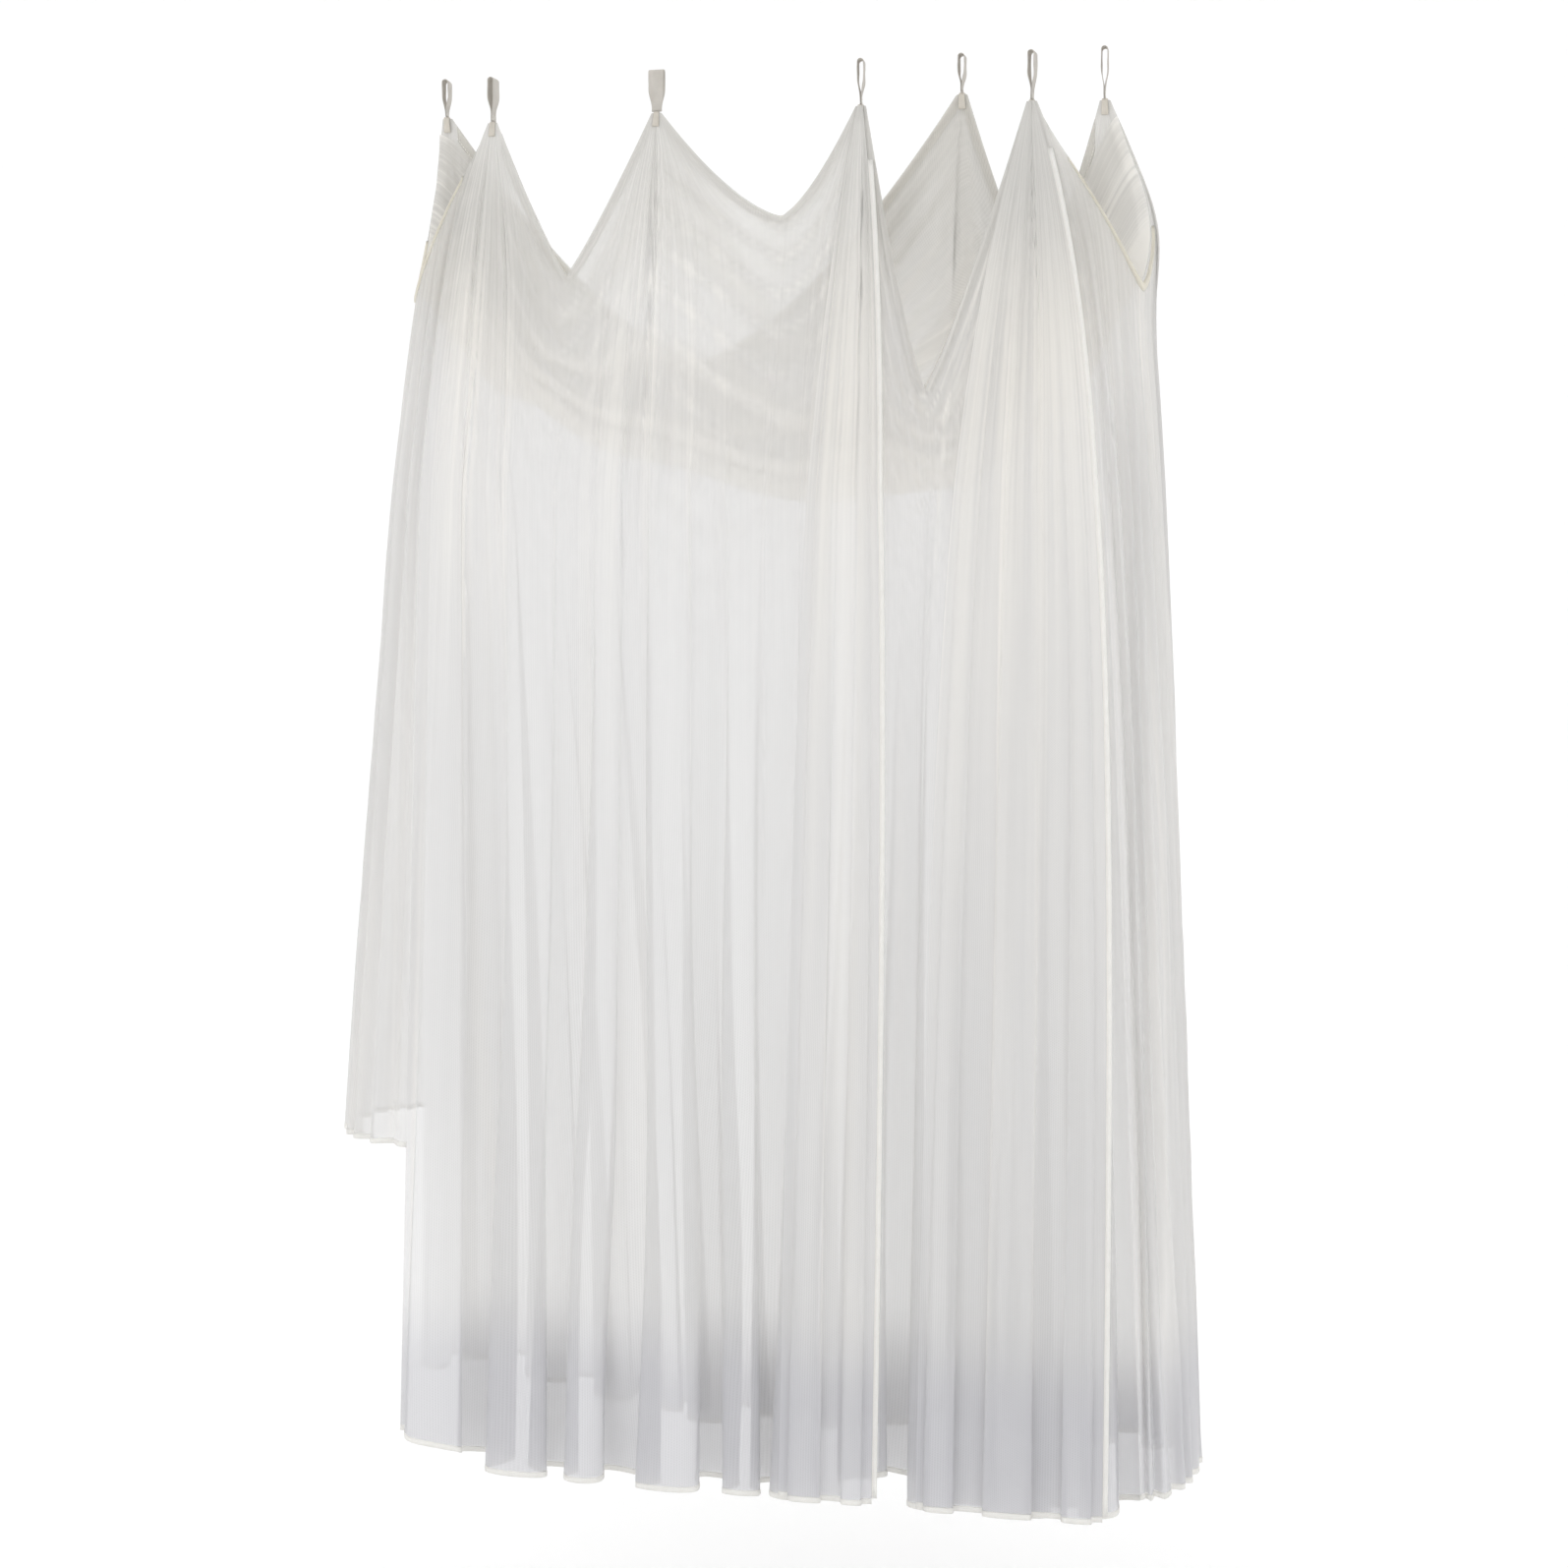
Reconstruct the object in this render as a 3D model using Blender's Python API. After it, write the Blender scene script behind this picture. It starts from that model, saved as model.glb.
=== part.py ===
"""Square mosquito net as it hangs when all its loops are on one straight line.

Metres, +Z up. X runs along the hanging line, the front of the net faces -Y, and z = 0 is the
line itself, where the inside top of every loop rests. A roof panel hangs as a trough between
the front and the back edge, and four walls hang outside it down to their hems.
"""
import math

import bpy
import bmesh
from mathutils import Vector

# Overall sizes
HEM_DEPTH = 2.205          # hanging line down to the front and back hems
LEFT_WALL_DEPTH = 1.70     # hanging line down to the hem of the left wall
KINK_DEPTH = 0.66          # the walls slope out to here and hang steeper below
KINK_REACH = 0.112         # how far the walls stand from the line's plane at that depth
HEM_REACH = 0.195          # and at the hem
SLOPE_TOP = 0.060          # depth at which the slope begins: the highest tip

# Cloth and trim
NET_THICK = 0.0016         # thickness of a netting layer with its weave and small creases
CLEAR = 0.0003             # gap between pieces that touch
BIND_THICK = 0.0014
BIND_WIDTH = 0.014
HEM_THICK = 0.0020
HEM_WIDTH = 0.009
FOLD_WIDTH = 0.098         # one main fold of a wall
FOLD_REACH = 0.034         # how far a main fold stands out at the hem
TIP_HALF = 0.008           # half the width of the gathered tip under a loop

# Loops, from left to right: place along the line, depth of the tip under it, and turn
LOOP_X = (-0.560, -0.481, -0.207, 0.124, 0.283, 0.392, 0.503)
TIP_DEPTH = (0.060, 0.071, 0.067, 0.071, 0.060, 0.076, 0.078)
LOOP_TURN = (5.0, -4.0, 90.0, 4.0, 0.0, -5.0, 3.0)
TAPE_WIDTH = 0.025
TAPE_THICK = 0.0012
EYE_WIDTH = 0.0085
EYE_LENGTH = 0.026         # straight part of the eye, from the line down
SEWN_LENGTH = 0.012        # the legs are sewn together this far up from the tip
SEWN_GAP = 0.45            # share of the eye that stays open between the sewn legs
TAPER_TOP = 0.030          # depth at which a tape begins to narrow towards its tip
TAPER = 0.35               # share of its width that it loses
EYE_TURNS = 8              # faces round the top of an eye
BACK_LEFT, FRONT_LEFT, MID_LEFT, MID_RIGHT, BACK_MID, FRONT_RIGHT, BACK_RIGHT = range(7)

# Patches folded over the tips
PATCH_HEIGHT = 0.022
PATCH_THICK = 0.0012
PATCH_WIDTH = 0.0088
SIDE_DROP = 0.004          # the side walls start this far below the patches
SIDE_SEAM = 0.0045         # from the side tapes down to the side walls, measured upright

FOLD_TOP = max(TIP_DEPTH) + PATCH_HEIGHT + 0.015       # the main folds grow from here down

# Low points of the roof's edges: place, depth, and how rounded the sag is
FAN_SPREAD = 1.2           # how soon the inner folds of a fan spread
VALLEY_LEFT = (-0.342, 0.322, 1.15)
VALLEY_MID = (0.004, 0.240, 1.45)
VALLEY_V = (0.240, 0.515, 1.20)
VALLEY_BACK_LEFT = (-0.160, 0.450, 1.50)
VALLEY_BACK_RIGHT = (0.395, 0.335, 1.30)
SIDE_VALLEY_LEFT = 0.340
SIDE_VALLEY_RIGHT = 0.355
SIDE_SAG = 1.5             # how round the upper edges of the side walls sag

# Corner lines: spread near the roof, depth over which it grows, spread at the hem
CORNER_FRONT_LEFT = (-0.075, 0.20, -0.020)
CORNER_BACK_LEFT = (-0.050, 0.30, -0.085)
CORNER_FRONT_RIGHT = (0.100, 0.25, 0.100)
CORNER_BACK_RIGHT = (0.060, 0.15, 0.055)
PUFF = (0.023, 0.190, 0.105)             # reach, depth below the tips, and height
BULGE_LEFT = (0.020, 0.062)              # of the left wall, at the roof and per metre down
BULGE_RIGHT = (0.030, 0.012)
BULGE_START = 0.15         # depth over which the bulge grows
PUFF_START = 0.05

# Roof trough: depth of its lowest line at stations from its left end to its right end
TROUGH = ((0.0, 0.340), (0.12, 0.505), (0.30, 0.610), (0.56, 0.686), (0.76, 0.665),
          (0.90, 0.560), (1.0, 0.355))
TROUGH_EASE = 0.06         # evens out the corners between two stations
TROUGH_END = 0.25          # share of its length over which the trough reaches its full width
TROUGH_ROUND = 2.2         # how round its section is
TROUGH_SIDES = 0.6         # how soon its sides stand upright
ROOF_SEAM = 0.10           # share of its length that follows the side walls
ROOF_DROP = 0.04           # least depth of the trough under the edges

# Entrance
SLIT_LEFT = 0.104
SLIT_RIGHT = 0.144
FLAP_GAP = 0.012           # extra room between a flap and the wall behind it, at the hem
FLAP_REACH = 0.020
MIDDLE_FLAP = (0.050, 0.196)
CORNER_FLAP = (0.262, 0.545)
FLAP_HEM_LIFT = 0.012
EDGE_WIDTH = 0.008
FLAP_SPREAD = 0.45         # depth over which a flap spreads to its full width
FREE_EDGE_TOP = 0.15       # depth at which the bound free edges begin

# Rise of the front hem above its depth: place, rise, width
HEM_RISE = ((-0.600, 0.055, 0.130), (0.185, 0.045, 0.050), (0.640, 0.045, 0.080))
BACK_HEM_RISE = ((-0.560, 0.070, 0.200), (0.300, 0.020, 0.200))

# Faces along the cloth
FOLD_STEPS = 4
SIDE_STEPS = 12
ROOF_STEPS = 34
WALL_LEVELS = (0.13, 0.20, 0.41, KINK_DEPTH, 1.05, 1.60)
SIDE_LEVELS = (0.45, KINK_DEPTH, 1.10)
LOW_LEVELS = (1.65,)       # more levels on the longer right wall
LEVEL_SPACE = 0.03         # least distance between two rows of faces
BIND_STEP = 0.030          # length of one face of the binding
BIND_PLACES = 120          # places tried along a binding
ARC_PLACES = 8             # places tried to each side for the binding's lower border


def clear_scene():
    for item in list(bpy.data.objects):
        bpy.data.objects.remove(item, do_unlink=True)


def material(name, colour, roughness):
    made = bpy.data.materials.new(name)
    made.use_nodes = True
    shader = made.node_tree.nodes["Principled BSDF"]
    shader.inputs["Base Color"].default_value = (*colour, 1.0)
    shader.inputs["Roughness"].default_value = roughness
    return made


def make_object(name, points, faces, finish, thickness=0.0):
    mesh = bpy.data.meshes.new(name)
    mesh.from_pydata([tuple(p) for p in points], [], faces)
    mesh.validate()
    made = bpy.data.objects.new(name, mesh)
    bpy.context.collection.objects.link(made)
    mesh.materials.append(finish)
    shape = bmesh.new()
    shape.from_mesh(mesh)
    bmesh.ops.remove_doubles(shape, verts=shape.verts, dist=1e-6)
    bmesh.ops.recalc_face_normals(shape, faces=shape.faces)
    shape.to_mesh(mesh)
    shape.free()
    if thickness:
        solid = made.modifiers.new("Thickness", "SOLIDIFY")
        solid.thickness = thickness
        solid.offset = 0.0
    return made


def smooth(value):
    value = min(1.0, max(0.0, value))
    return value * value * (3.0 - 2.0 * value)


def reach(depth):
    """How far a wall's plane stands from the plane of the line, at a depth."""
    if depth <= SLOPE_TOP:
        return 0.0
    if depth <= KINK_DEPTH:
        return KINK_REACH * (depth - SLOPE_TOP) / (KINK_DEPTH - SLOPE_TOP)
    down = (depth - KINK_DEPTH) / (HEM_DEPTH - KINK_DEPTH)
    return KINK_REACH + (HEM_REACH - KINK_REACH) * down


LAYER = 0.5 * BIND_THICK + CLEAR + 0.5 * NET_THICK      # net to binding, centre to centre
FLAP_LAYER = LAYER + NET_THICK + 2.0 * CLEAR + PATCH_THICK
SIDE_LAYER = HEM_THICK + CLEAR - LAYER                  # side walls lie this far inside


def tip(loop):
    return LOOP_X[loop], TIP_DEPTH[loop]


def corner(loop, spread, depth):
    """X of a corner line: the edge where two walls meet."""
    x, top = tip(loop)
    below = max(0.0, depth - top)
    side = math.copysign(TIP_HALF, spread[0])
    near = spread[0] * (1.0 - math.exp(-below / spread[1]))
    return x + side + near + spread[2] * below / HEM_DEPTH


def puff(depth, top):
    return PUFF[0] * math.exp(-((depth - top - PUFF[1]) / PUFF[2]) ** 2)


def front_left(depth):
    return corner(FRONT_LEFT, CORNER_FRONT_LEFT, depth)


def back_left(depth):
    return corner(BACK_LEFT, CORNER_BACK_LEFT, depth)


def front_right(depth):
    return corner(FRONT_RIGHT, CORNER_FRONT_RIGHT, depth)


def back_right(depth):
    top = TIP_DEPTH[BACK_RIGHT]
    grow = smooth((depth - top) / PUFF_START)
    return corner(BACK_RIGHT, CORNER_BACK_RIGHT, depth) + grow * puff(depth, top)


def sag(part, rounding):
    """Share of a sag's depth reached at a share of the way from tip to low point."""
    return 1.0 - (1.0 - part) ** rounding


def sag_way(share, rounding):
    share = min(1.0, max(0.0, share))
    return 1.0 - (1.0 - share) ** (1.0 / rounding)


def edge_depth(x, tips, valleys):
    """Depth of a roof edge at x, from the tips and the low points between them."""
    for loop in tips:
        if abs(x - LOOP_X[loop]) <= TIP_HALF:
            return TIP_DEPTH[loop]
    for left, right, valley in zip(tips, tips[1:], valleys):
        if LOOP_X[left] < x < LOOP_X[right]:
            loop = left if x < valley[0] else right
            start, top = tip(loop)
            start += math.copysign(TIP_HALF, valley[0] - start)
            part = (x - start) / (valley[0] - start)
            return top + (valley[1] - top) * sag(min(1.0, part), valley[2])
    return TIP_DEPTH[tips[0] if x < LOOP_X[tips[0]] else tips[-1]]


FRONT_TIPS = (FRONT_LEFT, MID_LEFT, MID_RIGHT, FRONT_RIGHT)
FRONT_VALLEYS = (VALLEY_LEFT, VALLEY_MID, VALLEY_V)
BACK_TIPS = (BACK_LEFT, BACK_MID, BACK_RIGHT)
BACK_VALLEYS = (VALLEY_BACK_LEFT, VALLEY_BACK_RIGHT)


def front_edge(x):
    return edge_depth(x, FRONT_TIPS, FRONT_VALLEYS)


def back_edge(x):
    return edge_depth(x, BACK_TIPS, BACK_VALLEYS)


def fan_line(loop, side, share, depth, valley=None, border=None):
    """X of one fold line of a fan: from the tip it spreads, then hangs straight."""
    x, top = tip(loop)
    start = x + side * TIP_HALF
    if border is not None:
        return x + share * (border(depth) - x)
    down = max(0.0, depth - top) / (valley[1] - top)
    edge = sag_way(down, valley[2])
    inner = 1.0 - math.exp(-FAN_SPREAD * down / valley[2])
    spread = (1.0 - share * share) * inner + share * share * edge
    return x + share * (side * TIP_HALF + (valley[0] - start) * spread)


def main_fold(x, depth, width, out, start=0.0):
    """Outward reach of the main folds at a settled x and a depth."""
    wave = 0.5 - 0.5 * math.cos(2.0 * math.pi * (x - start) / width)
    return out * max(0.0, depth - FOLD_TOP) / HEM_DEPTH * wave


def rise(x, rises):
    return sum(lift * math.exp(-((x - place) / width) ** 2) for place, lift, width in rises)


def levels_of(valleys, regular):
    """Depths of the rows: every low point, and regular levels clear of them."""
    kept = [valley[1] for valley in valleys]
    kept += [level for level in regular if all(abs(level - other) > LEVEL_SPACE for other in kept)]
    return sorted(kept)


def half_fan(loop, side, steps, valley=None, border=None):
    """Columns of half a fan, from the tip's middle out to its border."""
    return [(loop, side, step / steps, valley, border) for step in range(steps + 1)]


def wall_columns(tips, valleys, left_border, right_border):
    """All columns of a wall, as fans from left to right."""
    fans = []
    for place, loop in enumerate(tips):
        x = LOOP_X[loop]
        left = valleys[place - 1] if place else None
        right = valleys[place] if place < len(valleys) else None
        left_end = left[0] if left else left_border(HEM_DEPTH)
        right_end = right[0] if right else right_border(HEM_DEPTH)
        left_steps = max(3, round(FOLD_STEPS * (x - left_end) / FOLD_WIDTH))
        right_steps = max(3, round(FOLD_STEPS * (right_end - x) / FOLD_WIDTH))
        out = half_fan(loop, -1, left_steps, left, None if left else left_border)
        fan = list(reversed(out))
        fan += half_fan(loop, 1, right_steps, right, None if right else right_border)[1:]
        fans.append(fan)
    return fans


def wall_point(column, depth, facing, out):
    """A point of a wall's netting, at a column and a depth."""
    loop, side, share, valley, border = column
    depth = max(depth, TIP_DEPTH[loop])
    x = fan_line(loop, side, share, depth, valley, border)
    settled = LOOP_X[loop] + share * ((valley[0] if valley else border(HEM_DEPTH)) - LOOP_X[loop])
    y = reach(depth) + LAYER + main_fold(settled, depth, FOLD_WIDTH, out)
    return Vector((x, facing * y, -depth))


def wall(name, fans, levels, facing, hem_of, finish, keep=lambda x: True):
    """One wall panel. Returns the points of its lower border."""
    points, faces, lower = [], [], []
    for fan in fans:
        columns = [c for c in fan if keep(wall_point(c, HEM_DEPTH, facing, 0.0).x)]
        before = None
        for column in columns:
            top = TIP_DEPTH[column[0]]
            foot = hem_of(wall_point(column, HEM_DEPTH, facing, 0.0).x)
            depths = [top] + [max(level, top) for level in levels] + [foot]
            row = [wall_point(column, depth, facing, FOLD_REACH) for depth in depths]
            first = len(points)
            points += row
            if before is not None:
                for step in range(len(row) - 1):
                    faces.append((before + step, first + step, first + step + 1, before + step + 1))
            before = first
            lower.append(row[-1])
    make_object(name, points, faces, finish, NET_THICK)
    return clean_line(lower)


def clean_line(points):
    kept = [points[0]]
    for point in points[1:]:
        if (point - kept[-1]).length > 1e-5:
            kept.append(point)
    return kept


def strip(name, line, across, down, thick, finish, gap=CLEAR):
    """A strip of rectangular section along a line: its upper edge lies a gap below the line."""
    points, faces = [], []
    for place, point in enumerate(line):
        ahead = line[min(place + 1, len(line) - 1)] - line[max(place - 1, 0)]
        side = across(ahead).normalized() * (0.5 * thick)
        low = down(point, ahead)
        top = point + low.normalized() * gap
        points += [top - side, top + side, top + low + side, top + low - side]
    for place in range(len(line) - 1):
        base = 4 * place
        for turn in range(4):
            after = (turn + 1) % 4
            faces.append((base + turn, base + after, base + 4 + after, base + 4 + turn))
    last = 4 * (len(line) - 1)
    faces += [(3, 2, 1, 0), (last, last + 1, last + 2, last + 3)]
    return make_object(name, points, faces, finish)


def level_side(ahead):
    return Vector((ahead.y, -ahead.x, 0.0))


def hem_strip(name, line, finish):
    return strip(name, line, level_side, lambda point, ahead: Vector((0, 0, -HEM_WIDTH)),
                 HEM_THICK, finish)


def band_faces(stations):
    """Faces of a band with four corners at each station: upper pair, then lower pair."""
    faces = []
    for place in range(stations - 1):
        a = 4 * place
        b = a + 4
        faces += [(a, a + 2, b + 2, b), (a + 1, b + 1, b + 3, a + 3),
                  (a, b, b + 1, a + 1), (a + 2, a + 3, b + 3, b + 2)]
    last = 4 * (stations - 1)
    return faces + [(0, 1, 3, 2), (last, last + 2, last + 3, last + 1)]


def edge_binding(name, edge, start, end, facing, finish):
    """Binding tape along a roof edge: a band of even width that lies in the wall's plane."""
    places = [start + (end - start) * k / BIND_PLACES for k in range(BIND_PLACES + 1)]
    kept = [places[0]]
    for x in places[1:-1]:
        travel = math.hypot(x - kept[-1], edge(x) - edge(kept[-1]))
        if travel > BIND_STEP:
            kept.append(x)
    kept.append(places[-1])
    points = []
    for x in kept:
        around = [x + BIND_WIDTH * k / ARC_PLACES for k in range(-ARC_PLACES, ARC_PLACES + 1)]
        around = [place for place in around if start <= place <= end]
        low = max(edge(p) + math.sqrt(max(0.0, BIND_WIDTH ** 2 - (p - x) ** 2)) for p in around)
        for depth in (edge(x), low):
            for thick in (-0.5, 0.5):
                points.append(Vector((x, facing * reach(depth) + thick * BIND_THICK, -depth)))
    return make_object(name, points, band_faces(len(kept)), finish)


def side_top(share, left):
    """Depth of a side wall's upper edge, from its front end to its back end."""
    ends = (TIP_DEPTH[FRONT_LEFT], TIP_DEPTH[BACK_LEFT])
    low = SIDE_VALLEY_LEFT
    if not left:
        ends = (TIP_DEPTH[FRONT_RIGHT], TIP_DEPTH[BACK_RIGHT])
        low = SIDE_VALLEY_RIGHT
    top = (ends[0] if share < 0.5 else ends[1]) + PATCH_HEIGHT + SIDE_DROP
    return low + (top - low) * abs(2.0 * share - 1.0) ** SIDE_SAG


def side_plan(share, depth, left):
    """Place in plan of a side wall, from its front corner to its back corner."""
    near, far = (front_left, back_left) if left else (front_right, back_right)
    out = -1.0 if left else 1.0
    bulge = BULGE_LEFT if left else BULGE_RIGHT
    below = max(0.0, depth - SLOPE_TOP)
    swell = (bulge[0] * smooth(below / BULGE_START) + bulge[1] * below) * math.sin(math.pi * share)
    x = near(depth) + (far(depth) - near(depth)) * share + out * swell
    return Vector((x, -(reach(depth) - SIDE_LAYER) * math.cos(math.pi * share), -depth))


def side_point(share, depth, left, inward):
    """A point of a side wall, moved into the net by inward."""
    turn = 1.0 if left else -1.0
    step = Vector((turn * math.sin(math.pi * share), math.cos(math.pi * share), 0.0))
    return side_plan(share, depth, left) + step * inward


def side_wall(name, left, foot, levels, finish):
    points, faces, lower = [], [], []
    rows = len(levels) + 2
    for step in range(SIDE_STEPS + 1):
        share = step / SIDE_STEPS
        top = side_top(share, left)
        end = foot(share)
        depths = [top + BIND_WIDTH + SIDE_SEAM] + list(levels) + [end]
        column = [side_point(share, depth, left, 0.0) for depth in depths]
        first = len(points)
        points += column
        if step:
            for row in range(rows - 1):
                faces.append((first - rows + row, first + row, first + row + 1,
                              first - rows + row + 1))
        lower.append(column[-1])
    make_object(name, points, faces, finish, NET_THICK)
    return clean_line(lower)


STEP = 0.5 / SIDE_STEPS


def side_binding(name, left, finish):
    """Binding tape along a side wall's upper edge, edge to edge with the wall."""
    points = []
    for step in range(1, SIDE_STEPS - 2):
        share = step / SIDE_STEPS
        top = side_top(share, left)
        ahead = side_plan(share + STEP, top, left) - side_plan(share - STEP, top, left)
        square = level_side(ahead).normalized() * BIND_THICK
        for depth in (top, top + BIND_WIDTH):
            for thick in (-0.5, 0.5):
                points.append(side_plan(share, depth, left) + square * thick)
    return make_object(name, points, band_faces(len(points) // 4), finish)


SIDE_STACK = 3.0 * LAYER      # side wall to roof at their shared seam, centre to centre


def trough_depth(along):
    for (left, low), (right, high) in zip(TROUGH, TROUGH[1:]):
        if along <= right:
            return low + (high - low) * eased((along - left) / (right - left))
    return TROUGH[-1][1]


def eased(value):
    return value - TROUGH_EASE * math.sin(2.0 * math.pi * value)


def roof_point(along, share):
    """A point of the roof: along runs left to right, share from the front edge to the back."""
    ends = [side_point(share, side_top(share, left), left, SIDE_STACK) for left in (True, False)]
    fx = LOOP_X[FRONT_LEFT] + along * (LOOP_X[FRONT_RIGHT] - LOOP_X[FRONT_LEFT])
    bx = LOOP_X[BACK_LEFT] + along * (LOOP_X[BACK_RIGHT] - LOOP_X[BACK_LEFT])
    front = share < 0.5
    edge = front_edge(fx) if front else back_edge(bx)
    mid_x = ends[0].x + along * (ends[1].x - ends[0].x)
    middle = side_point(0.5, SIDE_VALLEY_LEFT, True, SIDE_STACK).x
    middle += along * (side_point(0.5, SIDE_VALLEY_RIGHT, False, SIDE_STACK).x - middle)
    out = abs(2.0 * share - 1.0)
    x = middle + ((fx if front else bx) - middle) * out ** SIDE_SAG
    low = max(trough_depth(along), edge + ROOF_DROP)
    full = smooth(min(along, 1.0 - along) / TROUGH_END)
    round_part = 1.0 - math.sqrt(max(0.0, 1.0 - out ** TROUGH_ROUND))
    depth = low + (edge - low) * ((1.0 - full) * out ** SIDE_SAG + full * round_part)
    wide = max(reach(depth) - LAYER * (3.0 - 2.0 * full), -LAYER)
    y = (-1.0 if front else 1.0) * wide * math.sin(0.5 * math.pi * out) ** (1.0 - (1.0 - TROUGH_SIDES) * full)
    body = Vector((x, y, -depth))
    near = 1.0 - smooth(min(along, 1.0 - along) / ROOF_SEAM)
    end = ends[0] if along < 0.5 else ends[1]
    return body.lerp(end, near) if near > 0.0 else body


def roof(name, finish):
    points, faces = [], []
    rows = SIDE_STEPS + 1
    for step in range(ROOF_STEPS + 1):
        along = step / ROOF_STEPS
        for row in range(rows):
            points.append(roof_point(along, row / SIDE_STEPS))
        if step:
            first = step * rows
            for row in range(rows - 1):
                faces.append((first - rows + row, first + row, first + row + 1,
                              first - rows + row + 1))
    return make_object(name, points, faces, finish, NET_THICK)


def flap(name, loop, span, levels, finish):
    """A flap that hangs from a tip before the wall. Returns its free border and its lower one."""
    x, top = tip(loop)
    folds = round((span[1] - span[0]) / (0.5 * FOLD_WIDTH))
    fold_width = (span[1] - span[0]) / folds
    count = FOLD_STEPS * folds
    points, faces, free, lower = [], [], [], []
    depths = [top] + [level for level in levels if level > top + LEVEL_SPACE]
    depths.append(HEM_DEPTH - FLAP_HEM_LIFT)
    half = 0.5 * TIP_HALF
    for step in range(count + 1):
        share = step / count
        settled = span[0] + (span[1] - span[0]) * share
        start = x - half + 2.0 * half * share
        for row, depth in enumerate(depths):
            spread = 1.0 - math.exp(-(depth - top) / FLAP_SPREAD)
            place = start + (settled - start) * spread
            below = max(0.0, depth - SLOPE_TOP) / HEM_DEPTH
            out = reach(depth) + FLAP_LAYER + (FOLD_REACH + FLAP_GAP) * below
            out += main_fold(settled, depth, fold_width, FLAP_REACH, span[0])
            point = Vector((place, -out, -depth))
            points.append(point)
            if step == count:
                free.append(point)
            if row == len(depths) - 1:
                lower.append(point)
        if step:
            rows = len(depths)
            first = step * rows
            for row in range(rows - 1):
                faces.append((first - rows + row, first + row, first + row + 1,
                              first - rows + row + 1))
    make_object(name, points, faces, finish, NET_THICK)
    return free, lower


def free_edge(name, line, finish):
    """The bound free edge of a flap, beside its border."""
    kept = [point for point in line if point.z < -FREE_EDGE_TOP]
    return strip(name, kept, lambda ahead: Vector((0, 1, 0)),
                 lambda point, ahead: Vector((EDGE_WIDTH, 0, 0)), HEM_THICK, finish,
                 0.5 * NET_THICK)


def loop_tape(name, loop, finish):
    """A loop of tape: two legs that meet at the tip, and a round top over the line."""
    x, depth = tip(loop)
    foot = depth - PATCH_THICK - 2.0 * CLEAR - 0.5 * NET_THICK
    outline = []
    radius = 0.5 * EYE_WIDTH
    for k in range(EYE_TURNS + 1):
        angle = math.pi * k / EYE_TURNS
        outline.append((radius * math.cos(angle), -radius + radius * math.sin(angle)))
    leg = [(SEWN_GAP * radius, -foot + SEWN_LENGTH), (radius, -EYE_LENGTH),
           (radius, 0.5 * radius - EYE_LENGTH), (radius, -1.5 * radius)]
    ring_in = leg + outline + [(-a, b) for a, b in reversed(leg)]
    points, faces = [], []
    turned = math.radians(LOOP_TURN[loop])
    eye = Vector((math.cos(turned), math.sin(turned), 0.0))
    wide = Vector((-math.sin(turned), math.cos(turned), 0.0)) * (0.5 * TAPE_WIDTH)
    count = len(ring_in)
    outer = []
    for k, (a, b) in enumerate(ring_in):
        before = Vector(ring_in[max(0, k - 1)])
        after = Vector(ring_in[min(count - 1, k + 1)])
        ahead = (after - before).normalized()
        outer.append((a + ahead.y * TAPE_THICK, b - ahead.x * TAPE_THICK))
    shut = [(ring_in[0][0] + TAPE_THICK, -foot), (ring_in[-1][0] - TAPE_THICK, -foot)]
    ring_out = [shut[0]] + outer[1:-1] + [shut[1]]
    for ring in (ring_in, ring_out):
        for a, b in ring:
            for end in (-1.0, 1.0):
                narrow = 1.0 - TAPER * smooth((-b - TAPER_TOP) / TAPER_TOP)
                points.append(Vector((x, 0.0, b)) + eye * a + wide * (end * narrow))
    offset = 2 * count
    for k in range(count - 1):
        i, o = 2 * k, offset + 2 * k
        faces += [(i, i + 1, i + 3, i + 2), (o, o + 2, o + 3, o + 1),
                  (i, i + 2, o + 2, o), (i + 1, o + 1, o + 3, i + 3)]
    end_in, end_out = 2 * (count - 1), offset + 2 * (count - 1)
    faces += [(0, end_in, end_in + 1, 1), (offset, offset + 1, end_out + 1, end_out),
              (0, offset, end_out, end_in), (1, end_in + 1, end_out + 1, offset + 1)]
    return make_object(name, points, faces, finish)


def tip_patch(name, loop, facing, finish):
    """A patch folded over a gathered tip, with one leg before the net and one behind it."""
    x, depth = tip(loop)
    inner = LAYER + 0.5 * NET_THICK + CLEAR
    outer = inner + PATCH_THICK
    top = -depth + 0.5 * NET_THICK + CLEAR
    foot = depth + PATCH_HEIGHT
    high, low = facing * reach(depth), facing * reach(foot)
    profile = [(low - outer, -foot), (high - outer, -depth), (high - outer, top + PATCH_THICK),
               (high + outer, top + PATCH_THICK), (high + outer, -depth), (low + outer, -foot),
               (low + inner, -foot), (high + inner, -depth), (high + inner, top),
               (high - inner, top), (high - inner, -depth), (low - inner, -foot)]
    points = []
    for end in (-1.0, 1.0):
        points += [Vector((x + end * 0.5 * PATCH_WIDTH, y, z)) for y, z in profile]
    count = len(profile)
    faces = [tuple(range(count)), tuple(range(2 * count - 1, count - 1, -1))]
    for k in range(count):
        after = (k + 1) % count
        faces.append((k, k + count, after + count, after))
    return make_object(name, points, faces, finish)


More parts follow.
